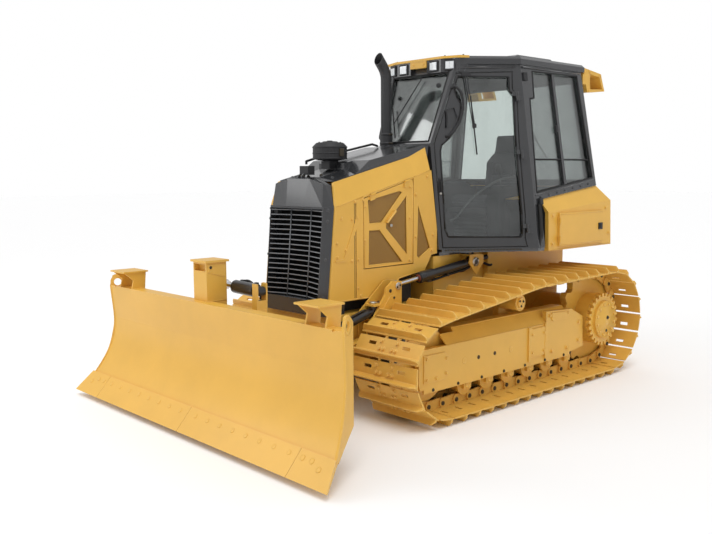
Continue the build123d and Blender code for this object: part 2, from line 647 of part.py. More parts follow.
tank_line = [(870, 1100), (2200, 1100), (2200, 1735), (870, 1580)]
with BuildPart() as cab_frame:
    ruled_loft([cab_plan(z, 0) for z in (SILL_Z, BEND_Z, EAVES_Z)])
    ruled_loft([cab_plan(z, WALL) for z in (SILL_Z - 4, BEND_Z, EAVES_Z + 4)], Mode.SUBTRACT)
    for plane, outline in ((door_plane, DOOR_OPENING), (side_plane, SIDE_LIGHT)):
        cutter = private_plate(plane, outline, -WALL * 2, WALL * 3)
        add(cutter, mode=Mode.SUBTRACT)
        add(mirrored(cutter), mode=Mode.SUBTRACT)
    bar = private_plate(side_plane, SIDE_BAR, -WALL, WALL)
    add(bar)
    add(mirrored(bar))
    plate_on(windshield_plane.offset(-WALL * 2), WINDSHIELD, WALL * 3, Mode.SUBTRACT)
    plate_on(rear_plane.offset(-WALL * 2), REAR_LIGHT, WALL * 3, Mode.SUBTRACT)
    # behind the doors the shell stands on the rear tank
    side_profile(tank_line, -1000, 1000, Mode.SUBTRACT)
    block((-1000, 1000), (0, 2000), (EAVES_Z, EAVES_Z + 20), Mode.SUBTRACT)

# hinge line of the door, as (along, up, out) on its wall
HINGE_LOW = (756, 12, 25)
HINGE_HIGH = (664, 1474, 25)
KNUCKLE_RADIUS = 13
hinge_foot = Vector(*HINGE_LOW)
hinge_way = Vector(*HINGE_HIGH) - hinge_foot


def knuckle(share, length, reach):
    """A hinge knuckle at a share of the hinge line, with a bracket reaching along the wall to its leaf."""
    start = hinge_foot + hinge_way * share
    end = start + hinge_way.normalized() * length
    with BuildPart() as piece:
        foot = door_plane.from_local_coords(start)
        head = door_plane.from_local_coords(end)
        round_along(Plane(origin=foot, z_dir=head - foot), 0, length, KNUCKLE_RADIUS)
        for near, base, thickness in ((0, 0.5, HINGE_LOW[2] - 0.5), (0.45 * reach, -8, 10)):
            low, high = sorted((near, reach))
            outline = [(start.X + low, start.Y), (start.X + high, start.Y), (end.X + high, end.Y), (end.X + low, end.Y)]
            plate_on(door_plane.offset(base), outline, thickness)
    return piece.part


HINGES = (0.08, 0.5, 0.83)            # places of the hinges along the hinge line
with BuildPart(mode=Mode.PRIVATE) as frame_knuckles:
    for share in HINGES:
        add(knuckle(share, 34, 40))
with BuildPart() as framed:
    add(cab_frame.part)
    add(frame_knuckles.part)
    add(mirrored(frame_knuckles.part))
finish(framed.part, "cab_frame")


# ---------------------------------------------------------------- glass
def pane(plane, outline):
    """A pane set in the middle of a wall's opening."""
    return private_plate(plane, outline, -WALL / 2 - GLASS / 2, GLASS)


side_panes = (
    [(54, 465), (470, 520), (446, 1490), (160, 1487), (150, 1262), (90, 1255)],
    [(510, 525.5), (926, 579), (841, 1497), (486, 1491)],
)
with BuildPart() as cab_glass:
    add(pane(windshield_plane, WINDSHIELD))
    add(pane(rear_plane, REAR_LIGHT))
    for outline in side_panes:
        side_pane = pane(side_plane, outline)
        add(side_pane)
        add(mirrored(side_pane))
finish(cab_glass.part, "cab_glass")

# ---------------------------------------------------------------- cab doors
GRAB = [(66, 985), (150, 1005), (176, 1090), (150, 1172), (66, 1155)]
with BuildPart() as left_door:
    with BuildSketch(door_plane.offset(-WALL)) as leaf:
        with BuildLine():
            Polyline(*DOOR_OPENING, close=True)
        make_face()
        offset(amount=-DOOR_RUN, kind=Kind.INTERSECTION, mode=Mode.REPLACE)
    extrude(leaf.sketch, amount=WALL)
    plate_on(door_plane.offset(-WALL - 1), DOOR_LIGHT, WALL + 2, Mode.SUBTRACT)
    plate_on(door_plane.offset(-26), GRAB, 30, Mode.SUBTRACT)
    for share in HINGES:
        add(knuckle(share + 0.026, 34, -40))
left_pane = pane(door_plane, DOOR_LIGHT)
for name, side in SIDES:
    finish(left_door.part if side > 0 else mirrored(left_door.part), f"cab_door_{name}")
    finish(left_pane if side > 0 else mirrored(left_pane), f"cab_door_glass_{name}")

# ---------------------------------------------------------------- cab floor, roof and lamp guards
with BuildPart() as cab_floor:
    floor_plan = symmetric([(420, 132), (915, 780), (915, 866), (TANK_INNER, 866), (TANK_INNER, 1699)])
    plan_profile(floor_plan, 1155, SILL_Z - 1)
    plan_profile(symmetric([(HULL_HALF, 132), (HULL_HALF, 1699)]), HULL_TOP + 1, 1155)
finish(cab_floor.part, "cab_floor")

ROOF_PLAN = [(372, 338), (450, 420), (715, 772), (715, 1731)]
ROOF_CAP = [(950, 2765), (1130, 2838), (1640, 2838), (1700, 2765)]
LAMP_POD = [(95, 300), (250, 300), (400, 360), (435, 430), (435, 470), (95, 470)]
with BuildPart() as cab_roof:
    ruled_loft([
        (Plane.XY.offset(EAVES_Z + 0.5), symmetric(ROOF_PLAN)),
        (Plane.XY.offset(ROOF_Z - 22), symmetric(ROOF_PLAN)),
        (Plane.XY.offset(ROOF_Z), symmetric([(362, 356), (436, 436), (697, 780), (697, 1713)])),
    ])
    side_profile(ROOF_CAP, -450, 450)
    # the cap is narrower than its foot
    for side in (1, -1):
        shoulder = [(side * 410, 2842), (side * 455, 2842), (side * 455, ROOF_Z + 1)]
        plate_on(Plane.XZ.offset(-1800), shoulder, 900, Mode.SUBTRACT)
    # lamp pods in front of the windshield's top and round the corners
    for side in (1, -1):
        plan_profile([(side * x, y) for x, y in LAMP_POD], 2640, 2748)
    ruled_loft([cab_plan(BEND_Z, -1), cab_plan(EAVES_Z + 0.5, -1)], Mode.SUBTRACT)
finish(cab_roof.part, "cab_roof")

VISOR = [(262, 288), (418, 348), (452, 418)]
REAR_GUARD = [(1733, 2748), (2035, 2709), (2104, 2555), (1810, 2530)]
REAR_GUARD_WINDOW = [(1830, 2700), (2010, 2680), (2066, 2572), (1860, 2560)]
with BuildPart() as light_guards:
    # brow over the front lamps, with the panel between them
    plan_profile(symmetric([(452, 425), *VISOR[::-1]]), 2749, 2768)
    block((-93, 93), (292, 337), (2692, 2749))
    plan_profile(symmetric([(451.5, 900), (451.5, 419.5), (373.5, 336.5)]), 2740, 2780, Mode.SUBTRACT)
    # boxes round the rear lamps
    for low, high in ((560, 700), (-700, -560)):
        side_profile(REAR_GUARD, low, high)
        side_profile(REAR_GUARD_WINDOW, low - 1, high + 1, Mode.SUBTRACT)
        block((low, high), (1731, 1850), (2600, 2690))
finish(light_guards.part, "light_guards")

# ---------------------------------------------------------------- operator station
with BuildPart() as seat_base:
    # suspension box, pan and the post behind the seat
    side_profile([(1010, 1180), (1400, 1180), (1380, 1440), (1030, 1440)], -170, 170)
    side_profile([(960, 1440), (1440, 1440), (1440, 1480), (960, 1480)], -235, 235)
    side_profile([(1520, 1440), (1560, 1440), (1650, 1980), (1610, 1980)], -60, 60)
    block((-60, 60), (1400, 1560), (1440, 1479))
finish(seat_base.part, "seat_base")

with BuildPart() as seat_cushion:
    side_profile([(960, 1481), (1440, 1481), (1450, 1560), (1400, 1590), (990, 1610), (950, 1570)], -240, 240)
finish(seat_cushion.part, "seat_cushion")

with BuildPart() as seat_back:
    side_profile([(1452, 1500), (1512, 1490), (1600, 1985), (1612, 2170), (1532, 2180), (1470, 1900)], -230, 230)
    for side in (1, -1):
        crown = [(side * 240, 1850), (side * 240, 2200), (side * 130, 2200), (side * 130, 2040), (side * 200, 1950)]
        plate_on(Plane.XZ.offset(-1700), crown, 300, Mode.SUBTRACT)
finish(seat_back.part, "seat_back")

CONSOLE = [(900, 1180), (1400, 1180), (1420, 1640), (1330, 1700), (960, 1690), (880, 1620)]
with BuildPart() as consoles:
    side_profile(CONSOLE, 290, 420)
    side_profile(CONSOLE, -420, -290)
    # dash in front of the operator
    side_profile([(230, 1180), (420, 1180), (430, 1500), (330, 1720), (270, 1720)], -150, 150)
finish(consoles.part, "consoles")

# ---------------------------------------------------------------- rear tank
TANK_SIDE = [(950, TANK_BOTTOM), (1946, TANK_BOTTOM), (1926, 1546), (1771, 1682), (872, 1579), (939, 1471)]
with BuildPart() as rear_tank:
    side_profile(TANK_SIDE, -TANK_HALF, TANK_HALF)
    # the upper sides lean inwards
    lean = Plane(origin=(TANK_HALF, 939, 1471), x_dir=(0, 987, 75), z_dir=Vector(0, 987, 75).cross(Vector(-50, -67, 108)))
    for plane in (lean, Plane(origin=(-TANK_HALF, 939, 1471), x_dir=(0, 987, 75),
                              z_dir=Vector(-lean.z_dir.X, lean.z_dir.Y, lean.z_dir.Z))):
        outwards = plane if plane.z_dir.X * plane.origin.X > 0 else -plane
        split(bisect_by=outwards, keep=Keep.BOTTOM)
    block((-TANK_INNER, TANK_INNER), (860, 1700), (TANK_BOTTOM - 1, 1700), Mode.SUBTRACT)
finish(rear_tank.part, "rear_tank")

SERVICE_HINGE = (930, 1076)           # X, Y
with BuildPart() as service_door:
    side_profile([(1080, 1175), (1780, 1175), (1780, 1460), (1080, 1460)], 901, 921)
    for z in (1215, 1370):
        upright(10, z, z + 50, *SERVICE_HINGE)
        block((903, SERVICE_HINGE[0]), (1076, 1100), (z, z + 50))
finish(service_door.part, "service_door")

# ---------------------------------------------------------------- exhaust and air intake
STACK = (-155, 62)                    # X, Y
STACK_RADIUS = 46
STACK_BEND_Z = 2590
STACK_LEAN = 40                       # degrees forward of the upright at the tip
with BuildPart() as exhaust_stack:
    bend_radius = 170
    turn = math.radians(STACK_LEAN)
    bend_end = (STACK[1] - bend_radius * (1 - math.cos(turn)), STACK_BEND_Z + bend_radius * math.sin(turn))
    tip = (bend_end[0] - 110 * math.sin(turn), bend_end[1] + 110 * math.cos(turn))
    with BuildLine(Plane.YZ.offset(STACK[0])) as stack_line:
        Line((STACK[1], 2030), (STACK[1], STACK_BEND_Z))
        RadiusArc((STACK[1], STACK_BEND_Z), bend_end, -bend_radius)
        Line(bend_end, tip)
    with BuildSketch(Plane(origin=(STACK[0], STACK[1], 2030))) as stack_section:
        RegularPolygon(STACK_RADIUS, 28)
    sweep(sections=stack_section.sketch, path=stack_line.wire())
    # lower collar, oblique mouth and the bore behind it
    with BuildSketch(Plane(origin=(STACK[0], STACK[1], 2030))) as collar:
        RegularPolygon(STACK_RADIUS + 8, 28)
    extrude(collar.sketch, amount=120)
    mouth = Plane(origin=(STACK[0], tip[0] + 30 * math.sin(turn), tip[1] - 30 * math.cos(turn)), z_dir=(0, -0.95, 0.31))
    split(bisect_by=mouth, keep=Keep.BOTTOM)
    run = Vector(0, tip[0] - bend_end[0], tip[1] - bend_end[1])
    bore = Plane(origin=(STACK[0], bend_end[0], bend_end[1]), z_dir=run)
    with BuildSketch(bore) as bore_section:
        RegularPolygon(STACK_RADIUS - 5, 28)
    extrude(bore_section.sketch, amount=200, mode=Mode.SUBTRACT)
finish(exhaust_stack.part, "exhaust_stack")

BOWL = ((45, 1905), (134, 1921), (134, 2018), (112, 2042), (50, 2050))   # radius, Z
BOWL_Y = -715
INTAKE_TUBE = [(-812, 1884), (-812, 1906), (-728, 1927), (-433, 1984), (-89, 2051), (-30, 2038)]
INTAKE_TUBE_X = -172


def many_sided(plane, radius, count, centre=(0, 0)):
    """A regular outline on a plane, for lofts."""
    points = polar_outline(count, 0, [(radius, 0)])
    return (plane, [(centre[0] + x, centre[1] + y) for x, y in points])


with BuildPart() as precleaner:
    ruled_loft([many_sided(Plane.XY.offset(z), radius, 32, (0, BOWL_Y)) for radius, z in BOWL])
    # neck, clamp and foot on the hood
    cowl_z = along(PANEL_TOP, BOWL_Y) + 33
    plan_profile([(-48, -763), (48, -763), (48, -667), (-48, -667)], cowl_z + 4, 1906)
    for x, y, z in ((-50, -960, 1800),):
        block((x, x + 100), (y - 20, y + 45), (z, 1868))
    # thin tube along the right of the spine
    path = [Vector(INTAKE_TUBE_X, y, z) for y, z in INTAKE_TUBE]
    for start, end in zip(path, path[1:]):
        way = (end - start).normalized()
        with BuildSketch(Plane(origin=start - way * 3, z_dir=way)) as tube:
            RegularPolygon(9.5, 8)
        extrude(tube.sketch, amount=(end - start).length + 6)
finish(precleaner.part, "precleaner")

# ---------------------------------------------------------------- C-frame
TOWER_INNER = (402, 412)              # inner and outer plates of the towers on the arms
TOWER_OUTER = (487, 507)
ARM_SIDE = [(380, 500), (340, 575), (200, 595), (-700, 600), (-905, 560), (-1160, 500), (-1250, 470), (-1250, 388),
            (-1100, 388), (-760, 430), (200, 430), (340, 430)]
TOWER_LONG = [(-420, 590), (-417, 982), (-490, 989), (-535, 985), (-791, 776), (-800, 700), (-800, 520), (-420, 520)]
TOWER_SHORT = [(-434, 590), (-434, 980), (-530, 988), (-599, 939), (-610, 890), (-654, 832), (-730, 731), (-790, 690),
               (-800, 570)]
NOSE_FRONT = [(505, -1160), (505, -1295), (260, -1400)]
NOSE_BACK = [(240, -1290), (425, -1262), (425, -1160)]
TONGUE_RADIUS = 58
PIVOT_PIN = 25
with BuildPart() as c_frame:
    for side in (1, -1):
        low, high = span(side, ARM_X - ARM_HALF, ARM_X + ARM_HALF)
        side_profile(ARM_SIDE, low, high)
        cross_prism(82, 32, low, high, *FRAME_PIVOT)
        cross_disc(35 + PIN_FIT, low - 1, high + 1, *FRAME_PIVOT, mode=Mode.SUBTRACT)
        # tower of a long inner plate and a short outer one
        low, high = span(side, *TOWER_INNER)
        side_profile(TOWER_LONG, low, high)
        low, high = span(side, TOWER_INNER[0], ARM_X - ARM_HALF + 5)
        block((low, high), (-800, -420), (520, 598))
        low, high = span(side, *TOWER_OUTER)
        side_profile(TOWER_SHORT, low, high)
        # retaining caps of the lift cylinder's pin, and the pad behind the tower
        low, high = span(side, TOWER_OUTER[1] - 1, TOWER_OUTER[1] + 5)
        cross_prism(30, 16, low, high, *LIFT_EYE)
        # clevis plates of the angle cylinder
        low, high = span(side, TOWER_INNER[0] + 1, TOWER_OUTER[1] - 1)
        for z in (811, 700):
            block((low, high), (-735, -614), (z, z + 14))
        block((low, high), (-640, -614), (590, 701))
    # nose with the tongue and its upright pin
    plan_profile(symmetric(NOSE_FRONT) + symmetric(NOSE_BACK[::-1])[::-1], 388, 472)
    block((-TONGUE_RADIUS, TONGUE_RADIUS), (BLADE_PIVOT_Y, -1395), (405, 455))
    upright(TONGUE_RADIUS, 405, 455, 0, BLADE_PIVOT_Y)
    upright(PIVOT_PIN, 370, 490, 0, BLADE_PIVOT_Y)
finish(c_frame.part, "c_frame")

# ---------------------------------------------------------------- blade yoke
YOKE_PLATES = ((375, 400), (460, 485))
TRUNNION_RADIUS = 40
MAST_X = (200, 260)
MAST_Y = (-1630, -1540)
TILT_PIN = 20
with BuildPart() as blade_yoke:
    # clevis round the tongue, and the body behind the blade
    for low, high in YOKE_PLATES:
        upright(60, low, high, 0, BLADE_PIVOT_Y)
        block((-60, 60), (-1570, BLADE_PIVOT_Y), (low, high))
        upright(PIVOT_PIN + PIN_FIT, low - 1, high + 1, 0, BLADE_PIVOT_Y, Mode.SUBTRACT)
    block((-180, 260), (-1640, -1565), (375, 485))
    lengthways(TRUNNION_RADIUS, -1750, -1600, 0, BLADE_PIVOT_Z)
    # mast with the cheeks of the tilt cylinder's clevis
    plate_on(Plane.XZ.offset(-MAST_Y[1]), [(150, 484), (260, 484), (260, 925), (MAST_X[0], 925), (MAST_X[0], 620)],
             MAST_Y[1] - MAST_Y[0])
    for low, high in ((MAST_Y[0], -1619), (-1551, MAST_Y[1])):
        block((205, 262), (low, high), (924, 1045))
    lengthways(TILT_PIN, MAST_Y[0], MAST_Y[1], TILT_BASE[0], TILT_BASE[2])
finish(blade_yoke.part, "blade_yoke")

# ---------------------------------------------------------------- blade
SKIN = 20
SKIN_FRONT = ((-2022, 170), (-1905, 380), (-1858, 640), (-1880, 905))   # three points of the curl, then the top
END_PLATE = 16
EDGE_GAP = 4
TOWER = ((-250, -80), (-1820, -1650))
TOWER_TOP = 1185
EYE_ON_END = (39.5, 929)              # along the end plane and Z
end_turn = math.radians(BLADE_END_TURN)
END_X = Vector(-math.sin(end_turn), math.cos(end_turn), 0)
END_OUT = Vector(math.cos(end_turn), math.sin(end_turn), 0)
end_plane = Plane(origin=(*BLADE_END, 0), x_dir=END_X, z_dir=END_OUT)
# end plates, as (along the end plane, Z)
END_CURL = ((-180.4, 170), (-50.7, 380), (2.3, 640))
END_REST = [(2.3, 640), (-22.5, 905), (-12, 940), (0, 985), (25, 993), (60, 993), (100, 965), (129.7, 940),
            (129.7, 307), (-13.5, 226), (-133, 156), (-180.4, 170)]
EDGE = [(-2150, 48), (-2138, 40), (-1985, 168), (-2020, 195)]
EDGE_SPLITS = (0, 1215)               # X of the joints between the cutting edges and the end bits


def beyond_end(overlap):
    """Plan of everything outside the left end plane, moved inwards by an overlap."""
    start = end_plane.from_local_coords((-700, 0, -overlap))
    end = end_plane.from_local_coords((900, 0, -overlap))
    return [(start.X, start.Y), (2200, start.Y), (2200, end.Y), (end.X, end.Y)]


def trim_ends(overlap):
    """Cuts away what reaches past the two end planes."""
    plan = beyond_end(overlap)
    plan_profile(plan, -100, 1400, Mode.SUBTRACT)
    plan_profile([(-x, y) for x, y in plan], -100, 1400, Mode.SUBTRACT)


with BuildPart() as left_end:
    with BuildSketch(end_plane.offset(-END_PLATE)) as plate:
        with BuildLine():
            ThreePointArc(*END_CURL)
            Polyline(*END_REST)
        make_face()
    extrude(plate.sketch, amount=END_PLATE)
    # lifting eye: thicker lug with a bore
    lug = Plane(origin=end_plane.from_local_coords((*EYE_ON_END, -END_PLATE)), z_dir=END_OUT)
    round_along(lug, 0, END_PLATE, 58)
    round_along(lug, -1, END_PLATE + 2, 30, Mode.SUBTRACT)

with BuildPart() as blade:
    with BuildSketch(Plane.YZ.offset(-1700)) as skin:
        with BuildLine():
            curl = ThreePointArc(*SKIN_FRONT[:3])
            top = Line(SKIN_FRONT[2], SKIN_FRONT[3])
            Line(SKIN_FRONT[3], (SKIN_FRONT[3][0] + SKIN, SKIN_FRONT[3][1]))
            Line((SKIN_FRONT[3][0] + SKIN, SKIN_FRONT[3][1]), (SKIN_FRONT[2][0] + SKIN, 640))
            ThreePointArc((SKIN_FRONT[2][0] + SKIN, 640), (-1886, 372), (-2008, 156))
            Line((-2008, 156), SKIN_FRONT[0])
        make_face()
    extrude(skin.sketch, amount=3400)
    # stiffening beams behind the skin
    side_profile([(-1862, 905), (-1780, 905), (-1780, 860), (-1845, 825)], -1700, 1700)
    side_profile([(-1893, 395), (-1800, 430), (-1800, 330), (-1935, 245)], -1700, 1700)
    trim_ends(END_PLATE / 2)
    add(left_end.part)
    add(mirrored(left_end.part))
    # hub of the yoke's trunnion
    lengthways(75, -1862, -1650, 0, BLADE_PIVOT_Z)
    side_profile([(-1888, 350), (-1700, 350), (-1700, 520), (-1846, 560)], -150, 150)
    lengthways(TRUNNION_RADIUS + PIN_FIT, -1755, -1640, 0, BLADE_PIVOT_Z, Mode.SUBTRACT)
    # cheeks that take the angle cylinders' eyes between them
    cheek = [(-1850, 440), (-1640, 440), (-1605, 475), (-1605, 565), (-1640, 600), (-1845, 600)]
    for side in (1, -1):
        for near, far in ((412, 426), (570, 584)):
            low, high = span(side, near, far)
            side_profile(cheek, low, high)
        low, high = span(side, 412, 584)
        block((low, high), (-1850, -1722), (440, 600))
        for near, far in ((404, 413), (583, 592)):
            low, high = span(side, near, far)
            cross_prism(34, 16, low, high, -1650, 520)
    # sighting tower over the skin, with the boss of the tilt cylinder
    (tower_left, tower_right), (tower_front, tower_back) = TOWER
    block((tower_left, tower_right), (tower_front, tower_back), (700, TOWER_TOP))
    side_profile([(-1848, 700), (-1870, 900), (-1815, 900), (-1815, 700)], tower_left, tower_right)
    block((tower_left - 15, tower_right + 15), (tower_front - 15, tower_back + 15), (TOWER_TOP, TOWER_TOP + 15))
    block((tower_left + 12, tower_right - 12), (tower_front - 1, tower_front + 40), (1122, 1172), Mode.SUBTRACT)
    x, y, z = TILT_EYE
    lengthways(40, tower_back - 1, -1611, x, z)
    lengthways(16, -1612, -1551, x, z)
    lengthways(26, -1559, -1551, x, z)
    # channels on the top edge, open at the front
    web = [(-1940, 1040), (-1859, 971), (-1876, 900), (-1760, 894), (-1748, 1040)]
    for side in (1, -1):
        for near, far in ((1080, 1092), (1267, 1279)):
            low, high = span(side, near, far)
            side_profile(web, low, high)
        low, high = span(side, 1068, 1291)
        block((low, high), (-1948, -1735), (1034, 1046))
    side_profile([(-2160, 30), (-2125, 30), (-1975, 160), (-2028, 203)], -1700, 1700, Mode.SUBTRACT)
    # the lifting eyes, with room for a shackle's pin behind them
    for radius, start, length in ((30, -5, END_PLATE + 10), (38, -80, 80)):
        bore = Solid.make_cylinder(radius, length, Plane(origin=lug.origin + lug.z_dir * start, z_dir=lug.z_dir))
        add(bore, mode=Mode.SUBTRACT)
        add(mirrored(bore), mode=Mode.SUBTRACT)
finish(blade.part, "blade")

with BuildPart() as cutting_edges:
    side_profile(EDGE, -1800, 1800)
    trim_ends(-2)
    for x in EDGE_SPLITS:
        both_sides((x - EDGE_GAP / 2, x + EDGE_GAP / 2), (-2200, -1900), (0, 300), Mode.SUBTRACT)
finish(cutting_edges.part, "cutting_edges")


# ---------------------------------------------------------------- hydraulic cylinders
def axis_to(base, eye):
    """Plane at a cylinder's base pin whose normal points to the rod's eye."""
    return Plane(origin=base, z_dir=Vector(*eye) - Vector(*base))


def disc_at(centre, axis, half, radius, mode=Mode.ADD):
    """A round centred on a pin."""
    round_along(Plane(origin=centre, z_dir=axis), -half, 2 * half, radius, mode)


def rod_with_eye(base, eye, axis, length, radius, eye_radius, eye_half):
    """A rod that ends in the middle of its eye."""
    way = axis_to(base, eye)
    reach = (Vector(*eye) - Vector(*base)).length
    with BuildPart() as rod:
        round_along(way, reach - length, length - eye_radius / 2, radius)
        disc_at(eye, axis, eye_half, eye_radius)
    return rod


ACROSS, UP, FORE = (1, 0, 0), (0, 0, 1), (0, 1, 0)

lift_base, lift_eye = (ARM_X, *LIFT_TRUNNION), (ARM_X, *LIFT_EYE)
with BuildPart() as lift_barrel:
    way = axis_to(lift_base, lift_eye)
    round_along(way, -40, 140, 30)
    round_along(way, 95, 569, 36)
    round_along(way, 505, 100, 43)
    round_along(way, 612, 52, 44)
    round_along(way, -200, 165, 21)
    disc_at(lift_base, ACROSS, 29, 42)
    disc_at(lift_base, ACROSS, 49, 22)
    round_along(way, 45, 700, 26, Mode.SUBTRACT)
lift_rod = rod_with_eye(lift_base, lift_eye, ACROSS, 650, 17, 42, 14)

with BuildPart() as angle_barrel:
    way = axis_to(ANGLE_BASE, ANGLE_EYE)
    round_along(way, 20, 580, 32)
    round_along(way, 545, 55, 38)
    disc_at(ANGLE_BASE, UP, 38, 34)
    round_along(way, 42, 700, 25, Mode.SUBTRACT)
angle_rod = rod_with_eye(ANGLE_BASE, ANGLE_EYE, ACROSS, 680, 17, 34, 14)

with BuildPart() as tilt_barrel:
    way = axis_to(TILT_BASE, TILT_EYE)
    round_along(way, 0, 60, 28)
    round_along(way, 36, 254, 48)
    disc_at(TILT_BASE, FORE, 30, 34)
    disc_at(TILT_BASE, FORE, 40, TILT_PIN + PIN_FIT, Mode.SUBTRACT)
    round_along(way, 60, 400, 34, Mode.SUBTRACT)
    round_along(way, 270, 20, 40)
    round_along(way, 260, 40, 21, Mode.SUBTRACT)
tilt_rod = rod_with_eye(TILT_BASE, TILT_EYE, FORE, 290, TILT_PIN, 35, 24)
with BuildPart() as tilt_rod_bored:
    add(tilt_rod.part)
    disc_at(TILT_EYE, FORE, 30, 18, Mode.SUBTRACT)

for name, side in SIDES:
    for part, label in ((lift_barrel, "lift_barrel"), (lift_rod, "lift_rod"), (angle_barrel, "angle_barrel"),
                        (angle_rod, "angle_rod")):
        finish(part.part if side > 0 else mirrored(part.part), f"{label}_{name}")
finish(tilt_barrel.part, "tilt_barrel")
finish(tilt_rod_bored.part, "tilt_rod")
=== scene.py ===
import bpy
import bmesh
import json
import math
import random
from itertools import product
from mathutils import Matrix, Vector


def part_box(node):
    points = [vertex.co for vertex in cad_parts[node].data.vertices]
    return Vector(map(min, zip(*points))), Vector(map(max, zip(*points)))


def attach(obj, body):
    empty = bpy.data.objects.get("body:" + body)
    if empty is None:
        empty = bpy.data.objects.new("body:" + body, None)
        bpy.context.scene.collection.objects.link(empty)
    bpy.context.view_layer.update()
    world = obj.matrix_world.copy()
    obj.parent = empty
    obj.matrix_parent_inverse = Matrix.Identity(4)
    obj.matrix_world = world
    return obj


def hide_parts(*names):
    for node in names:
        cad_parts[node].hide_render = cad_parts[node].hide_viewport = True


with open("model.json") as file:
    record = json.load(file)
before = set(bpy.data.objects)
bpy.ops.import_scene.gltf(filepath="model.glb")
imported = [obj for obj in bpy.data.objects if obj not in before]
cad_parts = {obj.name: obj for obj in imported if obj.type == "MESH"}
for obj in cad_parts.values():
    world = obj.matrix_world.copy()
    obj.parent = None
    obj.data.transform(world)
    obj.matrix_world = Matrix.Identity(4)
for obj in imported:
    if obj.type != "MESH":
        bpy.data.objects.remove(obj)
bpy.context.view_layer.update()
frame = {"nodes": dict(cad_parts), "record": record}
random.seed(11)
scene = bpy.context.scene

# Places are in metres in the row frame: X to the machine's left, Y to its rear, Z up from the ground.
LEFT, REAR, UP, FRONT = (1, 0, 0), (0, 1, 0), (0, 0, 1), (0, -1, 0)

# ---------------------------------------------------------------- camera
CAMERA_PLACE, CAMERA_LENS = (4.967, -5.05, 1.8254), 42.28
YAW, PITCH, ROLL = (math.radians(v) for v in (47.161, 6.533, -0.364))
back = Vector((math.sin(YAW) * math.cos(PITCH), -math.cos(YAW) * math.cos(PITCH), math.sin(PITCH)))
right = (-back).cross(Vector(UP)).normalized()
up = right.cross(-back)
right, up = right * math.cos(ROLL) + up * math.sin(ROLL), up * math.cos(ROLL) - right * math.sin(ROLL)
camera = bpy.data.objects.new("camera", bpy.data.cameras.new("camera"))
camera.data.sensor_width = 36
camera.data.lens = CAMERA_LENS
camera.data.clip_end = 200
camera.matrix_world = Matrix.Translation(CAMERA_PLACE) @ Matrix((right, up, back)).transposed().to_4x4()
scene.collection.objects.link(camera)
scene.camera = camera
scene.view_settings.view_transform = "Standard"


# ---------------------------------------------------------------- shader nodes
class Tree:
    """The shader nodes of a material or a world, made and linked by short calls."""

    def __init__(self, owner, clear=False):
        owner.use_nodes = True
        self.tree = owner.node_tree
        if clear:
            self.tree.nodes.clear()

    def fill(self, node, inputs):
        """Sets a node's inputs, each to a value or to the socket that feeds it."""
        for socket, value in inputs.items():
            if isinstance(value, bpy.types.NodeSocket):
                self.tree.links.new(value, node.inputs[socket])
            else:
                node.inputs[socket].default_value = value

    def add(self, kind, inputs=None, **properties):
        node = self.tree.nodes.new(f"ShaderNode{kind}")
        for name, value in properties.items():
            setattr(node, name, value)
        self.fill(node, inputs or {})
        return node


# ---------------------------------------------------------------- studio
AMBIENT = 0.7
SKY_STOPS = ((0.0, (0.72, 0.72, 0.73, 1)), (0.75, (1.12, 1.12, 1.12, 1)))
scene.world = bpy.data.worlds.new("studio")
sky = Tree(scene.world, clear=True)
height = sky.add("SeparateXYZ", {0: sky.add("TexCoord").outputs["Generated"]})
shade = sky.add("ValToRGB", {0: height.outputs["Z"]})
for stop, (share, tone) in zip(shade.color_ramp.elements, SKY_STOPS):
    stop.position, stop.color = share, tone
ambient = sky.add("Background", {"Color": shade.outputs["Color"], "Strength": AMBIENT})
white = sky.add("Background", {"Color": (1, 1, 1, 1)})
seen = sky.add("LightPath").outputs["Is Camera Ray"]
mixed = sky.add("MixShader", {0: seen, 1: ambient.outputs[0], 2: white.outputs[0]})
sky.add("OutputWorld", {0: mixed.outputs[0]})


def lamp(name, kind, energy, place, target, **settings):
    data = bpy.data.lights.new(name, kind)
    data.energy = energy
    for key, value in settings.items():
        setattr(data, key, value)
    aim = (Vector(target) - Vector(place)).to_track_quat("-Z", "Y").to_matrix().to_4x4()
    o = bpy.data.objects.new(name, data)
    o.matrix_world = Matrix.Translation(place) @ aim
    scene.collection.objects.link(o)


lamp("key", "SUN", 1.05, (3.0, -2.0, 8.0), (0, 0, 0), angle=0.5)
lamp("softbox", "AREA", 110, (-4.5, -6.5, 5.0), (0, -1.2, 0.8), shape="RECTANGLE", size=5.0, size_y=3.5)


# ---------------------------------------------------------------- materials
def linear(*color):
    """A display colour (0 to 255) as a linear one."""
    shares = [c / 255 for c in color]
    return (*(c / 12.92 if c <= 0.04045 else ((c + 0.055) / 1.055) ** 2.4 for c in shares), 1)


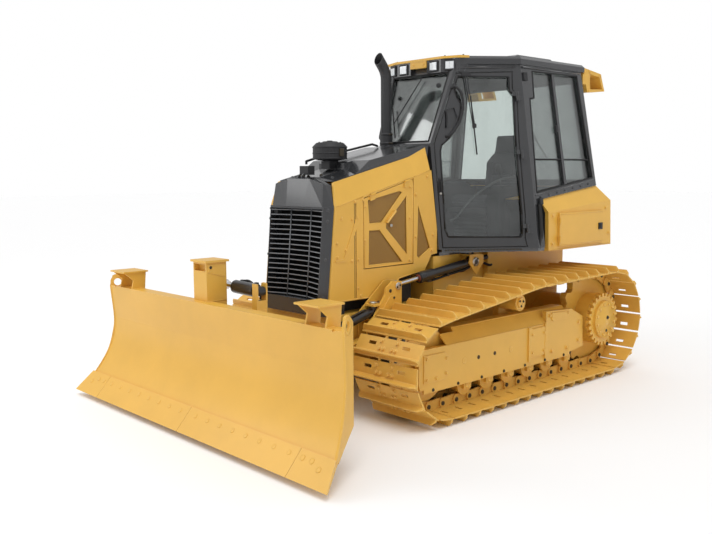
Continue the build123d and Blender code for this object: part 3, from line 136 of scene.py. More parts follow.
def finish(name, color, rough, metal=0.0, coat=0.0, vary=0.05, grain=260.0, bump=0.02, edge_highlight=None, mottled=3.0):
    """A finish with tone variation, fine bump and a painted highlight: a lighter tint mixed onto every
    bevelled edge.
    """
    material = bpy.data.materials.new(name)
    t = Tree(material)
    place = t.add("TexCoord").outputs["Object"]
    noise = t.add("TexNoise", {"Vector": place, "Scale": mottled, "Detail": 7, "Roughness": 0.62})
    spread = t.add("MapRange", {"Value": noise.outputs["Fac"], "From Min": 0.3, "From Max": 0.7,
                                "To Min": 1 - vary, "To Max": 1 + vary})
    tone = t.add("Mix", {"Factor": 1, "A": linear(*color), "B": spread.outputs["Result"]},
                 data_type="RGBA", blend_type="MULTIPLY")
    result = tone.outputs["Result"]
    # painted highlight: a lighter tint mixed in wherever the bevelled normal turns from the face's own, along
    # every edge
    if edge_highlight:
        bevel = t.add("Bevel", {"Radius": 0.004}, samples=2)
        normal = t.add("NewGeometry").outputs["Normal"]
        dot = t.add("VectorMath", {0: bevel.outputs["Normal"], 1: normal}, operation="DOT_PRODUCT")
        edge = t.add("MapRange", {"Value": dot.outputs["Value"], "From Min": 0.97, "From Max": 0.8,
                                  "To Max": 0.75})
        edge_lit = t.add("Mix", {"Factor": edge.outputs["Result"], "A": result, "B": linear(*edge_highlight)},
                     data_type="RGBA")
        result = edge_lit.outputs["Result"]
    fine = t.add("TexNoise", {"Vector": place, "Scale": grain, "Detail": 3})
    lift = t.add("Bump", {"Height": fine.outputs["Fac"], "Strength": bump, "Distance": 0.002})
    t.fill(t.tree.nodes["Principled BSDF"], {
        "Base Color": result, "Normal": lift.outputs["Normal"], "Roughness": rough, "Metallic": metal,
        "Coat Weight": coat, "Coat Roughness": 0.12})
    return material


def glass(name, tint, mirror_share):
    """Thin tinted glazing: part see-through, part mirror, a little smeared."""
    material = bpy.data.materials.new(name)
    t = Tree(material, clear=True)
    clear = t.add("BsdfTransparent", {"Color": tint})
    gloss = t.add("BsdfGlossy", {"Roughness": 0.03})
    noise = t.add("TexNoise", {"Vector": t.add("TexCoord").outputs["Object"], "Scale": 5.0, "Detail": 4})
    smear = t.add("MapRange", {"Value": noise.outputs["Fac"], "To Min": 0.05, "To Max": 0.17})
    fresnel = t.add("Fresnel", {"IOR": 1.45})
    total = t.add("Math", {0: fresnel.outputs[0], 1: smear.outputs["Result"]}, operation="ADD")
    scaled = t.add("Math", {0: total.outputs[0], 1: mirror_share}, operation="MULTIPLY")
    mix = t.add("MixShader", {0: scaled.outputs[0], 1: clear.outputs[0], 2: gloss.outputs[0]})
    t.add("OutputMaterial", {0: mix.outputs[0]})
    return material


def punched_sheet(name, hole_pitch=0.009):
    """Painted metal with a close grid of holes that are not cut: the sheet is a darker copy of the yellow
    paint and each hole a dark brown spot, both painted shade.
    """
    material = finish(name, (178, 134, 58), 0.55)
    t = Tree(material)
    bsdf = t.tree.nodes["Principled BSDF"]
    split = t.add("SeparateXYZ", {0: t.add("TexCoord").outputs["Object"]})
    waves = []
    for axis in ("Y", "Z"):
        scaled = t.add("Math", {0: split.outputs[axis], 1: 2 * math.pi / hole_pitch}, operation="MULTIPLY")
        waves.append(t.add("Math", {0: scaled.outputs[0]}, operation="SINE").outputs[0])
    both = t.add("Math", {0: waves[0], 1: waves[1]}, operation="MULTIPLY")
    hole = t.add("MapRange", {"Value": both.outputs[0], "From Min": 0.02, "From Max": 0.16})
    paint = bsdf.inputs["Base Color"].links[0].from_socket
    # painted shade: the dark brown spots stand in for the shade seen through the holes
    mix = t.add("Mix", {"Factor": hole.outputs["Result"], "A": paint, "B": linear(58, 42, 20)},
                data_type="RGBA")
    t.fill(bsdf, {"Base Color": mix.outputs["Result"]})
    return material


# edge_highlight is the lighter tint that finish() paints onto every edge as a painted highlight
FINISHES = {
    "yellow_paint": dict(color=(226, 176, 72), rough=0.42, coat=0.12, vary=0.045, edge_highlight=(240, 206, 132),
                         bump=0.025),
    "shoe_steel": dict(color=(222, 174, 78), rough=0.5, vary=0.07, edge_highlight=(242, 212, 142), bump=0.05,
                       mottled=6.0),
    "dark_paint": dict(color=(48, 49, 51), rough=0.26, coat=0.95, vary=0.08, edge_highlight=(96, 98, 102)),
    "engine_paint": dict(color=(46, 46, 46), rough=0.55, vary=0.15),
    "black_plastic": dict(color=(34, 34, 36), rough=0.55, vary=0.1, grain=420, bump=0.06),
    "seat_fabric": dict(color=(52, 54, 58), rough=0.95, vary=0.12, grain=900, bump=0.5),
    "exhaust_coating": dict(color=(44, 44, 46), rough=0.5, vary=0.12, edge_highlight=(88, 88, 90)),
    "cylinder_black": dict(color=(30, 30, 32), rough=0.3, coat=0.3, vary=0.1, edge_highlight=(80, 80, 84)),
    "rod_chrome": dict(color=(215, 217, 222), rough=0.12, metal=1.0, vary=0.02, bump=0.005),
    "bolt_dark": dict(color=(70, 62, 48), rough=0.45, metal=0.4, vary=0.15),
    "silver": dict(color=(196, 194, 188), rough=0.3, metal=0.85, vary=0.06),
    "rubber": dict(color=(26, 26, 27), rough=0.65, vary=0.12, grain=500, bump=0.08),
    # void: near-black, painted shade for the dark depth behind the radiator's fins
    "void": dict(color=(14, 14, 14), rough=0.9, vary=0.1),
    # bore: dark yellow-brown, painted shade inside the track frame's holes; it also colours the dark seam in
    # front of the engine door
    "bore": dict(color=(70, 50, 24), rough=0.7, vary=0.1),
    # slat_edge: a lighter grey copy of dark_paint, a painted highlight on the radiator guard's slats
    "slat_edge": dict(color=(120, 123, 127), rough=0.3, vary=0.06),
    "lens": dict(color=(232, 236, 238), rough=0.08, coat=1.0, grain=60, bump=0.25),
    "reflector": dict(color=(210, 214, 218), rough=0.15, metal=1.0, grain=40, bump=0.3),
    "seal_red": dict(color=(126, 58, 40), rough=0.5, vary=0.1),
    "screen": dict(color=(28, 36, 44), rough=0.12, coat=0.8, vary=0.1),
}
M = {name: finish(name, **values) for name, values in FINISHES.items()}
M["tinted_glass"] = glass("tinted_glass", (0.905, 0.937, 0.925, 1), 0.75)
M["punched"] = punched_sheet("punched_sheet")
for row in frame["record"]["subparts"]:
    target, material = frame["nodes"][row["node"]], M[row["material_slot"]]
    if not target.material_slots:
        target.data.materials.append(material)
    for holder in target.material_slots:
        holder.material = material


# ---------------------------------------------------------------- mesh kit
def basis(place, z_dir, x_dir=None):
    """A frame with its Z along z_dir."""
    z = Vector(z_dir).normalized()
    x = Vector(x_dir or (UP if abs(z.z) < 0.9 else REAR))
    x = (x - z * x.dot(z)).normalized()
    return Matrix.Translation(place) @ Matrix((x, z.cross(x), z)).transposed().to_4x4()


def yz(x, outward=1):
    """Frame on a plane of constant X: its X is the row's Y, its Y the row's Z."""
    return Matrix.Translation((x, 0, 0)) @ Matrix(((0, 0, outward), (1, 0, 0), (0, 1, 0))).to_4x4()


def face(x, *places):
    """(Y, Z) places on a plane of constant X."""
    return [(x, y, z) for y, z in places]


def on(wall, *places):
    """Places in a wall's own frame."""
    return [wall @ Vector(p) for p in places]


def box(middle, half):
    """The two corners of a block, from its middle and its half sizes."""
    return Vector(middle) - Vector(half), Vector(middle) + Vector(half)


def circle(centre, axis, radius, count, start=0.0):
    """Places spaced evenly round a centre, about the row's X or Z."""
    u, v = (Vector(d) for d in ((REAR, UP) if axis == LEFT else (LEFT, REAR)))
    turns = [start + 2 * math.pi * i / count for i in range(count)]
    return [Vector(centre) + (u * math.cos(a) + v * math.sin(a)) * radius for a in turns]


class Kit:
    """Collects the faces of one piece, of its main material where a call names no other."""

    def __init__(self, main):
        self.main = main
        self.verts, self.faces, self.mats, self.smooth = [], [], [], []

    def add(self, verts, faces, mat=None, smooth=False):
        base = len(self.verts)
        self.verts += [Vector(p) for p in verts]
        for face in faces:
            self.faces.append([base + i for i in face])
            self.mats.append(mat or self.main)
            self.smooth.append(smooth)

    def rings(self, rings, mat=None, smooth=False, caps=True):
        """Joins closed rings of equal length one after another and caps the ends."""
        n = len(rings[0])
        quads = [[k * n + i, k * n + (i + 1) % n, (k + 1) * n + (i + 1) % n, (k + 1) * n + i]
                 for k in range(len(rings) - 1) for i in range(n)]
        self.add([p for ring in rings for p in ring], quads, mat, smooth)
        if caps:
            self.add(rings[0], [range(n)[::-1]], mat)
            self.add(rings[-1], [range(n)], mat)

    def block(self, low, high, bevel=0.002, mat=None, at=Matrix()):
        """A box with chamfered edges between two corners."""
        low, high = (Vector(map(pick, low, high)) for pick in (min, max))
        mid, half = (low + high) / 2, (high - low) / 2
        bevel = min(bevel, min(half) * 0.6)
        corners = list(product((-1, 1), repeat=3))
        verts, index = [], {}
        for corner in corners:
            for axis in range(3):
                reach = [half[i] - (0 if i == axis else bevel) for i in range(3)]
                index[(*corner, axis)] = len(verts)
                verts.append(at @ Vector([mid[i] + corner[i] * reach[i] for i in range(3)]))

        def vertex(axis, along, a, b, side):
            corner = [0, 0, 0]
            corner[axis], corner[(axis + 1) % 3], corner[(axis + 2) % 3] = along, a, b
            return index[(*corner, side)]

        around = ((-1, -1), (1, -1), (1, 1), (-1, 1))
        faces = [[index[(*corner, axis)] for axis in range(3)] for corner in corners]
        for axis in range(3):
            u, w = (axis + 1) % 3, (axis + 2) % 3
            faces += [[vertex(axis, end, a, b, axis) for a, b in around] for end in (-1, 1)]
            faces += [[vertex(axis, end, a, b, side) for end, side in ((-1, u), (1, u), (1, w), (-1, w))]
                      for a, b in around]
        self.add(verts, faces, mat)

    def prism(self, outline, at, depth, bevel=0.0, mat=None):
        """A polygon in a frame's X-Y, carried along its Z, its far edge chamfered."""
        rings = [(outline, 0.0), (outline, depth - bevel)]
        if bevel:
            mid = sum((Vector(p) for p in outline), Vector((0, 0))) / len(outline)
            ways = [Vector(p) - mid for p in outline]
            rings.append(([mid + way * max(0.2, 1 - bevel / way.length) for way in ways], depth))
        self.rings([[at @ Vector((*p, h)) for p in ring] for ring, h in rings], mat)

    def lathe(self, profile, place, axis, n=24, mat=None, smooth=True, caps=True):
        """(radius, height) points turned about an axis through a place."""
        at = basis(place, axis)
        turns = [2 * math.pi * i / n for i in range(n)]
        self.rings([[at @ Vector((r * math.cos(a), r * math.sin(a), h)) for a in turns] for r, h in profile],
                   mat, smooth, caps)

    def pin(self, start, end, radius, n=20, mat=None):
        """A turned pin between two points with chamfered ends."""
        way = Vector(end) - Vector(start)
        long = way.length
        b = min(0.0015, radius * 0.3, long * 0.3)
        self.lathe([(radius - b, 0), (radius, b), (radius, long - b), (radius - b, long)], start, way, n, mat,
                   smooth=False)

    def bolt(self, place, axis, size, mat=None, washer=True, spin=None):
        """Hex head with a washer; size is half the width across the corners."""
        turn = random.random() if spin is None else spin
        foot = size * 0.26 if washer else 0
        if washer:
            self.lathe([(size * 1.45, 0), (size * 1.45, size * 0.18), (size * 1.3, foot)], place, axis, 12,
                       mat, smooth=False)
        at = basis(place, axis)
        turns = [turn + i * math.pi / 3 for i in range(6)]
        head = [[at @ Vector((r * math.cos(a), r * math.sin(a), foot + h)) for a in turns]
                for r, h in ((size, 0), (size, size * 0.62), (size * 0.84, size * 0.8))]
        self.rings(head, mat, caps=False)
        self.add(head[-1], [range(6)], mat)

    def bolts(self, places, axis, size, mat=None, washer=True):
        for place in places:
            self.bolt(place, axis, size, mat, washer)

    def tube(self, points, radius, n=6, mat=None, curved=True):
        """A round bent through points, or straight from each to the next."""
        pts = [Vector(p) for p in points]
        if curved and len(pts) > 2:
            ends = [pts[0] * 2 - pts[1], *pts, pts[-1] * 2 - pts[-2]]
            pts = [(b * 2 + (c - a) * t + (a * 2 - b * 5 + c * 4 - d) * t ** 2
                    + (b * 3 - a - c * 3 + d) * t ** 3) / 2
                   for a, b, c, d in zip(ends, ends[1:], ends[2:], ends[3:])
                   for t in (0.0, 0.2, 0.4, 0.6, 0.8)] + pts[-1:]
        turns = [2 * math.pi * k / n for k in range(n)]
        rings, side = [], None
        for i, p in enumerate(pts):
            way = (pts[min(i + 1, len(pts) - 1)] - pts[max(i - 1, 0)]).normalized()
            side = side or way.orthogonal()
            side = (side - way * side.dot(way)).normalized()
            other = way.cross(side)
            rings.append([p + (side * math.cos(a) + other * math.sin(a)) * radius for a in turns])
        self.rings(rings, mat, smooth=True)

    def mirror(self):
        """The same piece on the other side of the machine."""
        other = Kit(self.main)
        other.verts = [Vector((-p.x, p.y, p.z)) for p in self.verts]
        other.faces = [face[::-1] for face in self.faces]
        other.mats, other.smooth = list(self.mats), list(self.smooth)
        return other

    def make(self, name, body, slotted=True, replaces=()):
        """The piece as an object that rides on a body."""
        mats = sorted(set(self.mats))
        mesh = bpy.data.meshes.new(name)
        mesh.from_pydata([tuple(p) for p in self.verts], [], self.faces)
        for key in mats:
            mesh.materials.append(M[key])
        mesh.polygons.foreach_set("material_index", [mats.index(key) for key in self.mats])
        mesh.polygons.foreach_set("use_smooth", self.smooth)
        mesh.update()
        bm = bmesh.new()
        bm.from_mesh(mesh)
        bmesh.ops.remove_doubles(bm, verts=bm.verts, dist=1e-6)
        bmesh.ops.recalc_face_normals(bm, faces=bm.faces)
        bm.to_mesh(mesh)
        bm.free()
        o = bpy.data.objects.new(name, mesh)
        scene.collection.objects.link(o)
        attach(o, body)
        if replaces:
            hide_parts(*replaces)
        return o


def pair(kit, name, body):
    """Makes a left piece and its mirror image; {} in body is the side's name."""
    for side, piece in (("left", kit), ("right", kit.mirror())):
        piece.make(f"{name}_{side}", body.format(side))


# ---------------------------------------------------------------- tracks
SHOES = 43
SPROCKET, SPROCKET_R = (1.626, 0.49), 0.4
IDLER, IDLER_R = (-0.607, 0.41), 0.32
CARRIER_TOP = (0.504, 0.87)
CHAIN_LOW = 0.09
TRACK_X = 0.8405
SHOE_HALF = 0.3175
PLATE_LOW, PLATE_HIGH = 0.03, 0.042
GROUSER_HIGH = 0.09


def tangent(centre, radius, point, side):
    """The angle at which a straight run from a point meets a wheel."""
    dy, dz = point[0] - centre[0], point[1] - centre[1]
    return math.atan2(dz, dy) + side * math.acos(radius / math.hypot(dy, dz))


def arc(centre, radius, start, end, steps=60):
    turns = [start + (end - start) * i / steps for i in range(steps + 1)]
    return [(centre[0] + radius * math.cos(a), centre[1] + radius * math.sin(a)) for a in turns]


def pin_places():
    """The pins of one chain in Y and Z, evenly spaced along its path."""
    leave = tangent(IDLER, IDLER_R, CARRIER_TOP, 1) % (2 * math.pi)
    meet = tangent(SPROCKET, SPROCKET_R, CARRIER_TOP, -1)
    path = [(SPROCKET[0], CHAIN_LOW), (IDLER[0], CHAIN_LOW), *arc(IDLER, IDLER_R, 1.5 * math.pi, leave),
            CARRIER_TOP, *arc(SPROCKET, SPROCKET_R, meet, -0.5 * math.pi)]
    lengths = [math.dist(a, b) for a, b in zip(path, path[1:])]
    places, walked, k = [], 0.0, 0
    for i in range(SHOES):
        want = sum(lengths) * i / SHOES
        while walked + lengths[k] < want:
            walked += lengths[k]
            k += 1
        share = (want - walked) / lengths[k]
        places.append(tuple(a + (b - a) * share for a, b in zip(path[k], path[k + 1])))
    return places


def add_shoe(shoes, chain, sign, pin, following):
    """One shoe with its grouser and bolts, and the chain link that carries it."""
    pitch = math.dist(pin, following)
    fy, fz = ((b - a) / pitch for a, b in zip(pin, following))

    def at(s, x, h):
        """A place along the chain, across it and out from it."""
        return Vector((sign * (TRACK_X + x), pin[0] + fy * s - fz * h, pin[1] + fz * s + fy * h))

    # plate with two oblong holes, its two edges turned down a little
    xs = (-SHOE_HALF, -0.205, -0.13, 0.13, 0.205, SHOE_HALF)
    ss = (-0.012, 0.03, 0.078, 0.104, pitch - 0.015)
    cells = {(i, j) for i in range(5) for j in range(4)} - {(1, 2), (3, 2)}

    def corner(i, j, top):
        return at(ss[j], xs[i], (PLATE_HIGH - 0.004 * (j in (0, 4))) if top else PLATE_LOW)

    for i, j in sorted(cells):
        around = [(i, j), (i + 1, j), (i + 1, j + 1), (i, j + 1)]
        beside = [(i, j - 1), (i + 1, j), (i, j + 1), (i - 1, j)]
        for top in (False, True):
            shoes.add([corner(*c, top) for c in around], [range(4)])
        for a, b, cell in zip(around, around[1:] + around[:1], beside):
            if cell not in cells:
                shoes.add([corner(*a, False), corner(*b, False), corner(*b, True), corner(*a, True)],
                          [range(4)])
    # grouser with clipped outer corners
    sections = []
    for x, top in ((-SHOE_HALF, 0.062), (-SHOE_HALF + 0.028, GROUSER_HIGH), (SHOE_HALF - 0.028, GROUSER_HIGH),
                   (SHOE_HALF, 0.062)):
        foot = 0.02 + 0.008 * (top - 0.042) / 0.048
        sections.append([at(s, x, h) for s, h in (
            (0.003, 0.04), (0.0085, top - 0.003), (0.0105, top), (0.0175, top), (0.0195, top - 0.003),
            (foot, 0.046), (0.034, 0.04))])
    shoes.rings(sections)
    for x, s in ((0.04, 0.056), (0.078, 0.056), (0.078, 0.112)):
        for k in (-1, 1):
            shoes.bolt(at(s, k * x, PLATE_HIGH), at(0, 0, 1) - at(0, 0, 0), 0.013, spin=0.3)
    # chain link: two offset side plates, pin and bushing
    for k in (-1, 1):
        for near, far, low, high in ((0.047, 0.06, -0.036, 0.094), (0.058, 0.073, 0.074, pitch + 0.03)):
            shape = ((low + 0.014, 0.031), (low, 0.012), (low, -0.02), (low + 0.018, -0.0415),
                     (high - 0.018, -0.0415), (high, -0.02), (high, 0.012), (high - 0.014, 0.031))
            chain.rings([[at(s, k * x, h) for s, h in shape] for x in (near, far)])
    for x, radius in ((0.08, 0.017), (0.048, 0.026)):
        chain.pin(at(0, -x, 0), at(0, x, 0), radius, 12, "bolt_dark")


PINS = pin_places()
for side, sign in (("left", 1), ("right", -1)):
    shoes, chain = Kit("shoe_steel"), Kit("shoe_steel")
    for pin, following in zip(PINS, PINS[1:] + PINS[:1]):
        add_shoe(shoes, chain, sign, pin, following)
    shoes.make(f"track_shoes_{side}", "chassis", replaces=(f"track_{side}",))
    chain.make(f"track_chain_{side}", "chassis")

# ---------------------------------------------------------------- undercarriage details
FRAME_FACE = 0.985
run = Kit("yellow_paint")
run.bolts(circle((1.058, *SPROCKET), LEFT, 0.142, 12, math.pi / 12), LEFT, 0.013)
run.lathe([(0.168, 0.0), (0.166, 0.004), (0.12, 0.006), (0.114, 0.012), (0.062, 0.014), (0.056, 0.02),
           (0.02, 0.021)], (1.056, *SPROCKET), LEFT, 40)
run.bolt((1.077, 1.626, 0.51), LEFT, 0.012, "bolt_dark")
run.bolt((1.058, 1.626, 0.39), LEFT, 0.014, "bolt_dark")
run.bolts(circle((1.0, *SPROCKET), LEFT, 0.221, 25), LEFT, 0.0085, washer=False)
# roller collars: bolts and the shaft's end
for i in range(6):
    y = -0.19 + 0.27 * i
    run.lathe([(0.03, 0), (0.028, 0.004), (0.018, 0.005), (0.016, 0.001)], (0.9705, y, 0.205), LEFT, 20)
    run.bolts(face(0.9705, (y - 0.032, 0.238), (y + 0.032, 0.238)), LEFT, 0.0095, "bolt_dark")
# carrier roller: cap, ring and bolts
run.lathe([(0.0675, 0), (0.0675, 0.003), (0.058, 0.005), (0.054, 0.003), (0.05, 0.003)],
          (0.9405, 0.504, 0.753), LEFT, 32)
run.bolts(circle((0.9545, 0.504, 0.753), LEFT, 0.027, 3, 0.4), LEFT, 0.007, "bolt_dark")
# outer face of the track frame: cover plates, ribs and bolts
run.prism([(-0.705, 0.3), (-0.47, 0.3), (-0.44, 0.33), (-0.44, 0.47), (-0.48, 0.505), (-0.705, 0.505)],
          yz(FRAME_FACE), 0.008, 0.002)
run.bolts(face(0.993, (-0.68, 0.325), (-0.68, 0.48), (-0.465, 0.345), (-0.465, 0.455), (-0.575, 0.325)),
          LEFT, 0.012)
run.prism([(0.555, 0.262), (0.585, 0.262), (0.585, 0.546), (0.555, 0.546)], yz(FRAME_FACE), 0.014, 0.002)
run.prism([(0.78, 0.262), (0.812, 0.262), (0.812, 0.56), (0.78, 0.56)], yz(FRAME_FACE), 0.016, 0.002)
run.bolts(face(0.997, (0.605, 0.33), (0.605, 0.48), (0.765, 0.33), (0.765, 0.48)), LEFT, 0.011)
run.bolts(face(FRAME_FACE, (0.86, 0.61), (1.13, 0.6), (1.3, 0.5), (1.3, 0.34), (0.9, 0.3),
               (1.12, 0.3)), LEFT, 0.014)
run.prism([(0.9, 0.56), (1.1, 0.56), (1.115, 0.575), (1.115, 0.618), (0.885, 0.628), (0.885, 0.575)],
          yz(FRAME_FACE), 0.01, 0.002)
# the two holes in bore are shallow dark yellow-brown discs: painted shade inside the holes
for y, r, mat in ((-0.25, 0.024, None), (-0.08, 0.016, "bore"), (0.12, 0.016, "bore"), (0.33, 0.024, None)):
    run.lathe([(r, 0.0), (r, 0.0015), (r * 0.75, 0.0015), (r * 0.7, 0.0006)], (FRAME_FACE, y, 0.402), LEFT,
              20, mat)
run.bolts(face(FRAME_FACE, *((-0.6 + 0.28 * i, 0.24) for i in range(7))), LEFT, 0.009, "bolt_dark")
# welds along the facets, and the idler yoke between the fork plates
run.tube(face(0.9855, (-0.45, 0.549), (0.808, 0.549)), 0.004)
run.tube(face(0.891, (-0.3, 0.65), (1.175, 0.65)), 0.004)
run.block((0.745, -0.33, 0.36), (0.935, -0.29, 0.47), 0.006)
pair(run, "undercarriage_fittings", "chassis")

# ---------------------------------------------------------------- blade
EDGE_TOP, EDGE_TIP = Vector((0, -2.02, 0.195)), Vector((0, -2.15, 0.048))
edge_way = (EDGE_TIP - EDGE_TOP).normalized()
edge_out = Vector((0, edge_way.z, -edge_way.y))
blade = Kit("yellow_paint")
for i in range(8):
    blade.lathe([(0.017, 0.0), (0.0165, 0.0022), (0.01, 0.0018), (0.0085, 0.0005)],
                EDGE_TOP + edge_way * 0.052 + Vector((0.1 + 0.148 * i, 0, 0)), edge_out, 14)
for x, down in ((1.265, 0.052), (1.35, 0.052), (1.435, 0.085)):
    blade.lathe([(0.019, 0.0), (0.0185, 0.0025), (0.011, 0.002), (0.0095, 0.0005)],
                EDGE_TOP + edge_way * down + Vector((x, 0, 0)), edge_out, 14)
# ring round the lifting eye and stiffener along the end plate's rear edge
END_TURN = math.radians(27.5)
END_AT = Matrix.Translation((1.435, -1.86, 0)) @ Matrix.Rotation(END_TURN, 4, "Z") @ yz(0)
blade.lathe([(0.056, 0.0), (0.056, 0.003), (0.0335, 0.003), (0.0315, 0.0)], *on(END_AT, (0.0395, 0.929, 0)),
            END_AT.to_3x3() @ Vector(UP), 28, caps=False)
blade.tube(on(END_AT, (-0.176, 0.172, 0.001), (-0.11, 0.27, 0.001), (-0.052, 0.378, 0.001),
              (-0.014, 0.51, 0.001), (0.001, 0.64, 0.001), (-0.021, 0.9, 0.001)), 0.0035)
# bolts on the cheeks and welds at the channels on the top edge
blade.bolts(circle((0.592, -1.65, 0.52), LEFT, 0.019, 3), LEFT, 0.006, "silver")
for x in (1.079, 1.2795):
    blade.tube(face(x, (-1.874, 0.905), (-1.82, 0.906), (-1.782, 0.906)), 0.004)
pair(blade, "blade_fittings", "blade")
# tower: raised side plate, weld, and the retainer of the tilt cylinder's pin
tower = Kit("yellow_paint")
tower.prism([(-1.806, 1.17), (-1.664, 1.17), (-1.664, 1.075), (-1.806, 1.115)], yz(-0.08), 0.004, 0.001)
tower.bolt((-0.076, -1.785, 1.15), LEFT, 0.008, "bolt_dark")
tower.tube(face(-0.081, (-1.83, 0.906), (-1.652, 0.906)), 0.004)
tower.lathe([(0.024, 0.0), (0.024, 0.004), (0.02, 0.006), (0.0, 0.006)], (-0.2, -1.5505, 1.0), REAR, 20,
            "silver", caps=False)
tower.bolt((-0.188, -1.5445, 1.006), REAR, 0.006, "bolt_dark")
tower.make("blade_tower_fittings", "blade")

# ---------------------------------------------------------------- C-frame and yoke
arm = Kit("yellow_paint")
arm.lathe([(0.03, 0.0), (0.03, 0.003), (0.026, 0.005), (0.012, 0.005)], (0.512, -0.475, 0.945), LEFT, 24,
          "silver")
arm.bolts(face(0.517, (-0.49, 0.939), (-0.46, 0.951)), LEFT, 0.006, "bolt_dark")
arm.lathe([(0.014, 0.0), (0.014, 0.002), (0.006, 0.003)], (0.5075, -0.558, 0.916), LEFT, 16, "bolt_dark")
# angle cylinder's base pin with its flag
arm.lathe([(0.027, 0.0), (0.027, 0.014), (0.023, 0.018), (0.008, 0.018)], (0.45, -0.69, 0.825), UP, 22,
          "silver")
arm.block((0.436, -0.66, 0.826), (0.464, -0.62, 0.834), 0.0015, "silver")
arm.bolt((0.45, -0.632, 0.834), UP, 0.007, "bolt_dark")
# pivot cap, welds round the tower, and its bolted plate
arm.lathe([(0.078, 0.0), (0.078, 0.004), (0.042, 0.006), (0.04, 0.002)], (0.505, 0.3, 0.5), LEFT, 28,
          caps=False)
arm.tube(face(0.509, (-0.436, 0.602), (-0.56, 0.603), (-0.7, 0.602), (-0.795, 0.585)), 0.004)
arm.tube([(0.509, -0.9, 0.562), (0.5085, -1.0, 0.541), (0.508, -1.158, 0.502)], 0.003)
arm.prism([(-0.66, 0.76), (-0.56, 0.88), (-0.5, 0.88), (-0.5, 0.74)], yz(0.507), 0.003, 0.001)
arm.bolts(face(0.51, (-0.52, 0.76), (-0.52, 0.86), (-0.63, 0.77)), LEFT, 0.007, "bolt_dark")
pair(arm, "c_frame_fittings", "c_frame")
nose = Kit("yellow_paint")
nose.lathe([(0.044, 0.0), (0.044, 0.004), (0.03, 0.006), (0.0, 0.006)], (0, -1.5, 0.49), UP, 24, "silver",
           caps=False)
nose.bolts(circle((0, -1.5, 0.496), UP, 0.017, 3), UP, 0.005, "bolt_dark")
for k in (-1, 1):
    nose.tube([(k * 0.06, -1.388, 0.474), (k * 0.02, -1.395, 0.474), (0.0, -1.398, 0.474)], 0.004)
# hydraulic lines up to the blade: hoses clamped along the nose
for dx in (0.0, 0.03):
    nose.tube([(-0.33 + dx, -1.24 - dx, 0.486), (-0.24 + dx, -1.32, 0.486), (-0.12, -1.345 + dx, 0.486),
               (0.08, -1.35 + dx, 0.486), (0.14, -1.36 + dx, 0.5)], 0.009, 8, "rubber")
nose.block((-0.15, -1.375, 0.472), (-0.11, -1.305, 0.5), 0.003, "bolt_dark")
nose.make("c_frame_nose_fittings", "c_frame")
# yoke with the hoses of the tilt cylinder
yoke = Kit("yellow_paint")
yoke.lathe([(0.026, 0.0), (0.026, 0.006), (0.022, 0.009), (0.0, 0.009)], (0.23, -1.54, 0.99), REAR, 20,
           "silver", caps=False)
yoke.bolt((0.238, -1.531, 0.996), REAR, 0.006, "bolt_dark")
yoke.prism([(-1.622, 0.64), (-1.552, 0.64), (-1.552, 0.86), (-1.622, 0.86)], yz(0.26), 0.005, 0.001)
yoke.bolts(face(0.265, (-1.587, 0.665), (-1.587, 0.835)), LEFT, 0.007, "bolt_dark")
for dz in (0.0, 0.045):
    yoke.tube([(0.12, -1.535, 0.5 + dz), (0.15, -1.505, 0.6 + dz), (0.168, -1.5, 0.76),
               (0.175, -1.512, 0.88), (0.15, -1.52, 0.93 + dz * 0.4)], 0.01, 10, "rubber")
yoke.make("yoke_fittings", "blade_yoke")


# ---------------------------------------------------------------- cylinders
class Barrel(Kit):
    """The fittings of a cylinder's barrel, from its base towards the rod's eye."""

    def __init__(self, base, eye, off, end, radius):
        super().__init__("cylinder_black")
        self.base, self.way = Vector(base), (Vector(eye) - Vector(base)).normalized()
        off = Vector(off)
        self.off = (off - self.way * self.way.dot(off)).normalized()
        # ringed gland and wiper seal at the front end
        for start in (end - 0.06, end - 0.044, end - 0.028):
            self.turn([(radius, start), (radius + 0.002, start + 0.002), (radius + 0.002, start + 0.008),
                       (radius, start + 0.01)])
        self.turn([(radius - 0.004, end), (radius - 0.006, end + 0.003), (radius - 0.014, end + 0.004)])
        self.turn([(radius - 0.014, end + 0.001), (radius - 0.016, end + 0.007), (0.0185, end + 0.008)],
                  "seal_red")

    def turn(self, profile, mat=None):
        self.lathe(profile, self.base, self.way, 32, mat, caps=False)

    def beside(self, *places, shift=(0, 0, 0)):
        """Places at a distance along the axis and out from it."""
        return [self.base + self.way * s + self.off * d + Vector(shift) for s, d in places]


lift = Barrel((0.465, 0.462, 1.06), (0.465, -0.475, 0.945), (0, 0, -1), 0.664, 0.044)
for k in (-0.012, 0.012):
    lift.tube(lift.beside((0.04, 0.03), (0.08, 0.047), (0.3, 0.049), (0.52 + k, 0.052), (0.56 + k, 0.04),
                          shift=(k, 0, 0)), 0.0065, 8, "rubber")
lift.block(*box(*lift.beside((0.33, 0.046)), (0.024, 0.012, 0.01)), 0.003, "bolt_dark")
lift.block(*box(*lift.beside((0.56, 0.04)), (0.026, 0.018, 0.014)), 0.003)
pair(lift, "lift_barrel_fittings", "lift_barrel_{}")
eye = Kit("rod_chrome")
eye.lathe([(0.04, 0.0), (0.04, 0.0015), (0.026, 0.0015), (0.024, 0.0)], (0.479, -0.475, 0.945), LEFT,
          caps=False)
pair(eye, "lift_rod_fittings", "lift_rod_{}")

